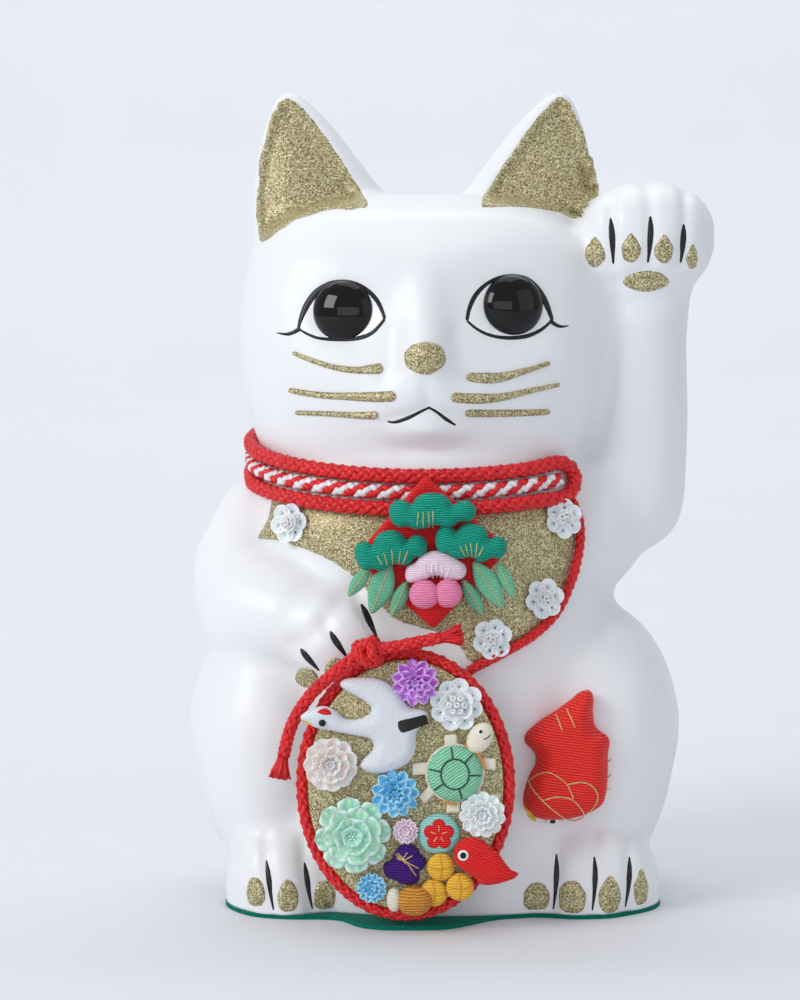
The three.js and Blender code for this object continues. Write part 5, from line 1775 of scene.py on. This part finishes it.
def pouch():
    purple = crepe("purple_crepe", srgb(26, 4, 62), srgb(58, 14, 112), srgb(96, 44, 150), ripple=1.3)
    points = [
        (-3.8, -21.6), (-2.0, -18.9), (1.3, -18.2), (4.0, -19.6), (4.6, -21.4), (6.6, -23.1), (6.2, -25.4),
        (4.3, -27.1), (4.6, -29.5), (2.5, -31.1), (-1.1, -31.1), (-3.6, -29.7), (-6.0, -28.9), (-7.2, -26.2),
        (-6.6, -24.2), (-4.7, -23.4),
    ]
    w = 6.6
    local = on_board("pouch_body", soft_outline(points, 80), 0, 0, w, 3.4, 3.0, purple, "purple_crepe",
                     ["pouch"])
    strings = [
        [(-3.4, -21.2), (-0.4, -23.2), (4.2, -25.8)], [(-2.6, -20.8), (0.2, -23.6), (3.4, -28.2)],
        [(0.6, -20.6), (-0.8, -22.8), (0.2, -24.2)], [(-3.0, -22.4), (-0.6, -23.0), (2.2, -21.6)],
    ]
    piece("pouch_string", thread_on(local, strings, 0, 0, w, 0.2), GOLD, "gold_thread")


def coins():
    yellow = crepe("yellow_crepe", srgb(206, 142, 26), srgb(236, 184, 54), srgb(252, 214, 104), ripple=1.25)
    seams = []
    for number, u, v, w in ((1, 11.0, -25.4, 8.0), (2, 17.0, -31.6, 8.4), (3, 8.8, -33.6, 6.9)):
        local = on_board(f"coin_pad_{number}", ring(0, 0, 4.5, 4.5, 40), u, v, w, 2.3, 2.4, yellow,
                         "yellow_crepe", [f"coin_{number}"], cell=0.5)
        cross = [[(-0.4, 4.0), (0.3, 0), (-0.2, -4.0)], [(-4.0, 0.3), (0, -0.5), (4.0, 0.5)]]
        seams.append(thread_on(local, cross, u, v, w, 0.13))
    piece("coin_seams", joined(seams), ORANGE_THREAD, "gold_thread")


def small_fish():
    red = crepe("fish_crepe", *RED_CREPE, turn=-0.35)
    points = [
        (15.0, -20.3), (15.9, -17.9), (18.3, -16.1), (21.9, -15.8), (25.0, -17.3), (27.1, -19.4),
        (28.9, -20.6), (30.7, -23.1), (32.9, -25.8), (35.4, -27.2), (33.9, -28.9), (29.8, -30.3),
        (26.2, -31.0), (23.2, -30.6), (21.9, -28.9), (18.9, -27.1), (16.2, -24.9), (15.0, -22.8),
    ]
    w = 9.6
    local = on_board("fish_body", soft_outline(points, 90), 0, 0, w, 3.6, 3.2, red, "red_crepe",
                     ["fish_small"])
    eye_on(local, 0, 0, w, 17.9, -21.2, 1.7, "fish_eye")


def mallet():
    brown = crepe("brown_crepe", srgb(160, 92, 22), srgb(204, 134, 48), srgb(236, 178, 92), ripple=1.15,
                  depth=0.24)
    cream = crepe("mallet_cream", srgb(208, 198, 172), srgb(234, 228, 206), srgb(247, 243, 230))
    on_board("mallet_drum", ring(0, 0, 5.9, 4.8, 44), 2.6, -36.0, 8.2, 4.4, 4.2, brown, "brown_crepe",
             ["mallet_barrel"])
    on_board("mallet_face", ring(0, 0, 2.5, 4.0, 36), -3.6, -35.6, 8.0, 3.4, 2.0, cream, "cream_crepe",
             ["mallet_end"], cell=0.5)


def plush_fish():
    """A stuffed red fish standing nose down against the haunch, with scales sewn in gold."""
    _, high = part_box("plush_fish")
    points = [
        (48.0, 72.4), (45.4, 71.4), (43.2, 69.6), (40.9, 67.9), (37.6, 65.6), (33.0, 62.6), (29.4, 59.6),
        (27.7, 57.7), (27.7, 55.6), (29.2, 53.4), (30.8, 51.1), (31.0, 48.3), (29.4, 45.0), (28.0, 40.7),
        (27.6, 36.6), (28.2, 33.6), (31.0, 30.8), (35.6, 29.4), (41.2, 29.4), (45.4, 30.3), (49.3, 31.8),
        (53.3, 34.1), (54.9, 37.1), (55.6, 40.7), (56.0, 45.8), (56.1, 50.9), (56.6, 54.4), (56.0, 56.6),
        (53.6, 58.5), (51.8, 60.6), (51.3, 64.6), (50.9, 68.9), (49.6, 71.8),
    ]
    centre = Vector((42.0, 50.0))
    outline = soft_outline([(x - centre.x, z - centre.y) for x, z in points], 120)
    face = Plane(mm(centre.x, 0, centre.y), 0.1)
    face.origin.y = high.y - 5.4 * MM
    bm = pillow(outline, 7.2, 7.5, 0.55, 0.62, 6, 1.2)
    bm = plumped(bm, 1.2)
    red = ribbed_cloth()
    scales = [
        [(29.3, 44.6), (31.0, 40.8), (34.0, 37.3), (37.6, 34.0), (41.2, 31.4), (44.2, 30.4), (46.8, 31.2)],
        [(30.2, 43.0), (33.0, 45.1), (36.1, 45.8), (39.1, 44.3), (41.7, 42.0), (43.7, 37.7)],
        [(41.7, 42.1), (45.2, 42.8), (48.3, 42.3), (50.5, 40.2), (51.2, 37.7), (49.8, 34.6), (47.3, 32.4)],
        [(34.2, 37.3), (38.6, 38.3), (42.7, 37.7), (45.2, 35.6), (46.9, 33.1), (46.9, 31.1)],
        [(38.4, 63.6), (40.2, 58.6)], [(41.6, 65.4), (44.1, 59.7)],
        [(54.6, 48.7), (55.8, 49.3)], [(54.6, 43.8), (55.7, 44.7)], [(54.0, 40.2), (55.2, 40.1)],
    ]
    local = [[(x - centre.x, z - centre.y) for x, z in line] for line in scales]
    threads = stitches(bm, local, 0.24, 0.14)
    threads.transform(face.matrix())
    tree = BVHTree.FromBMesh(bm)
    trim = [(-13.9, -14.5), (-13.4, -16.6), (-11.4, -18.9), (-9.6, -19.9), (-10.2, -18.4), (-12.2, -16.2)]
    yellow = dab_on(tree, trim, 0.5)
    yellow.transform(face.matrix())
    spot = Vector((-4.4, -19.8, 0))
    z = top_of(tree, spot.x, spot.y)
    for size, low_by, part, material, slot in ((1.9, 0.2, "white", EYE_PAINT, "white_crepe"),
                                               (1.1, -0.2, "pupil", BEAD_BLACK, "eye_glass")):
        eye = shell([(0, -0.6), (size * 0.9, -0.5), (size, 0), (size * 0.8, 0.35), (0, 0.5)], 24)
        lean = Matrix.Rotation(0.9, 4, "X")
        eye.transform(face.matrix() @ Matrix.Translation((spot.x, spot.y, z - low_by)) @ lean)
        piece(f"plush_eye_{part}", eye, material, slot)
    bm.transform(face.matrix())
    stuffed("plush_body", bm, red, "red_crepe", ["plush_fish"])
    piece("plush_scales", threads, GOLD, "gold_thread")
    piece("plush_trim", yellow, yellow_cloth(), "yellow_crepe")


def dab_on(tree, points, lift):
    outline = soft_outline(points, 40)
    bm = flat_fill(outline, 0.5)
    for vert in bm.verts:
        vert.co.z = top_of(tree, vert.co.x, vert.co.y) + lift
    return lined(bm, 0.8)


def ribbed_cloth():
    """Ribbed rayon: even ridges across, with a painted highlight on their tops and painted shade between
    them.
    """
    paint = Paint("ribbed_cloth", Sheen_Weight=0.05, Sheen_Roughness=0.4, Specular_IOR_Level=0.25)
    at = paint.place(turn=(0, -0.12, 0))
    wave = paint.node(
        "TexWave", "Fac", {"bands_direction": "Z"}, Vector=at, Scale=per_mm(1.22) * TAU / 20, Distortion=2.2,
        Detail=2.0, Detail_Scale=2.0,
    )
    thread = paint.noise(per_mm(3), 2, at)
    # the tone follows the ridge wave that also makes the bump: painted shade in the grooves, painted
    # highlight on the ridge tops
    tone = paint.ramp(wave * 0.7 + thread * 0.3, (0.15, (0.58, 0.005, 0.010)), (0.5, (0.76, 0.010, 0.016)),
                      (0.95, (0.92, 0.09, 0.04)))
    height = wave + thread * 0.4
    return paint.set(Base_Color=tone, Roughness=thread * 0.15 + 0.55, Normal=paint.bump(height, 0.13, 0.9))


def yellow_cloth():
    return crepe("yellow_cloth", srgb(214, 170, 30), srgb(244, 208, 62), srgb(253, 232, 124))


# crepe reds: the deep stop is painted shade in the ripple troughs, the bright stop a painted highlight on the
# crests
RED_CREPE = ((0.42, 0.003, 0.006), (0.78, 0.010, 0.016), (0.95, 0.06, 0.05))
BLACK_THREAD = silk_cord("black_thread", (0.004, 0.004, 0.005), (0.012, 0.012, 0.014), (0.04, 0.04, 0.045))
DARK_GREEN_THREAD = silk_cord("dark_green_thread", srgb(14, 42, 32), srgb(26, 66, 52), srgb(50, 96, 78))
ORANGE_THREAD = silk_cord("orange_thread", srgb(180, 92, 10), srgb(222, 138, 34), srgb(246, 184, 84))
BEAD_BLACK = black_glass()
EYE_PAINT = eye_white()

glitter_on_casting()
eyes()
mouth_and_claws()
base_felt()
bib()
bib_cord()
collar()
diamond()
bamboo()
pine_pads()
plum()
sequin_flowers()
board_slab()
resin_flowers()
crane()
turtle()
emblem()
pouch()
coins()
small_fish()
mallet()
plush_fish()
studio()
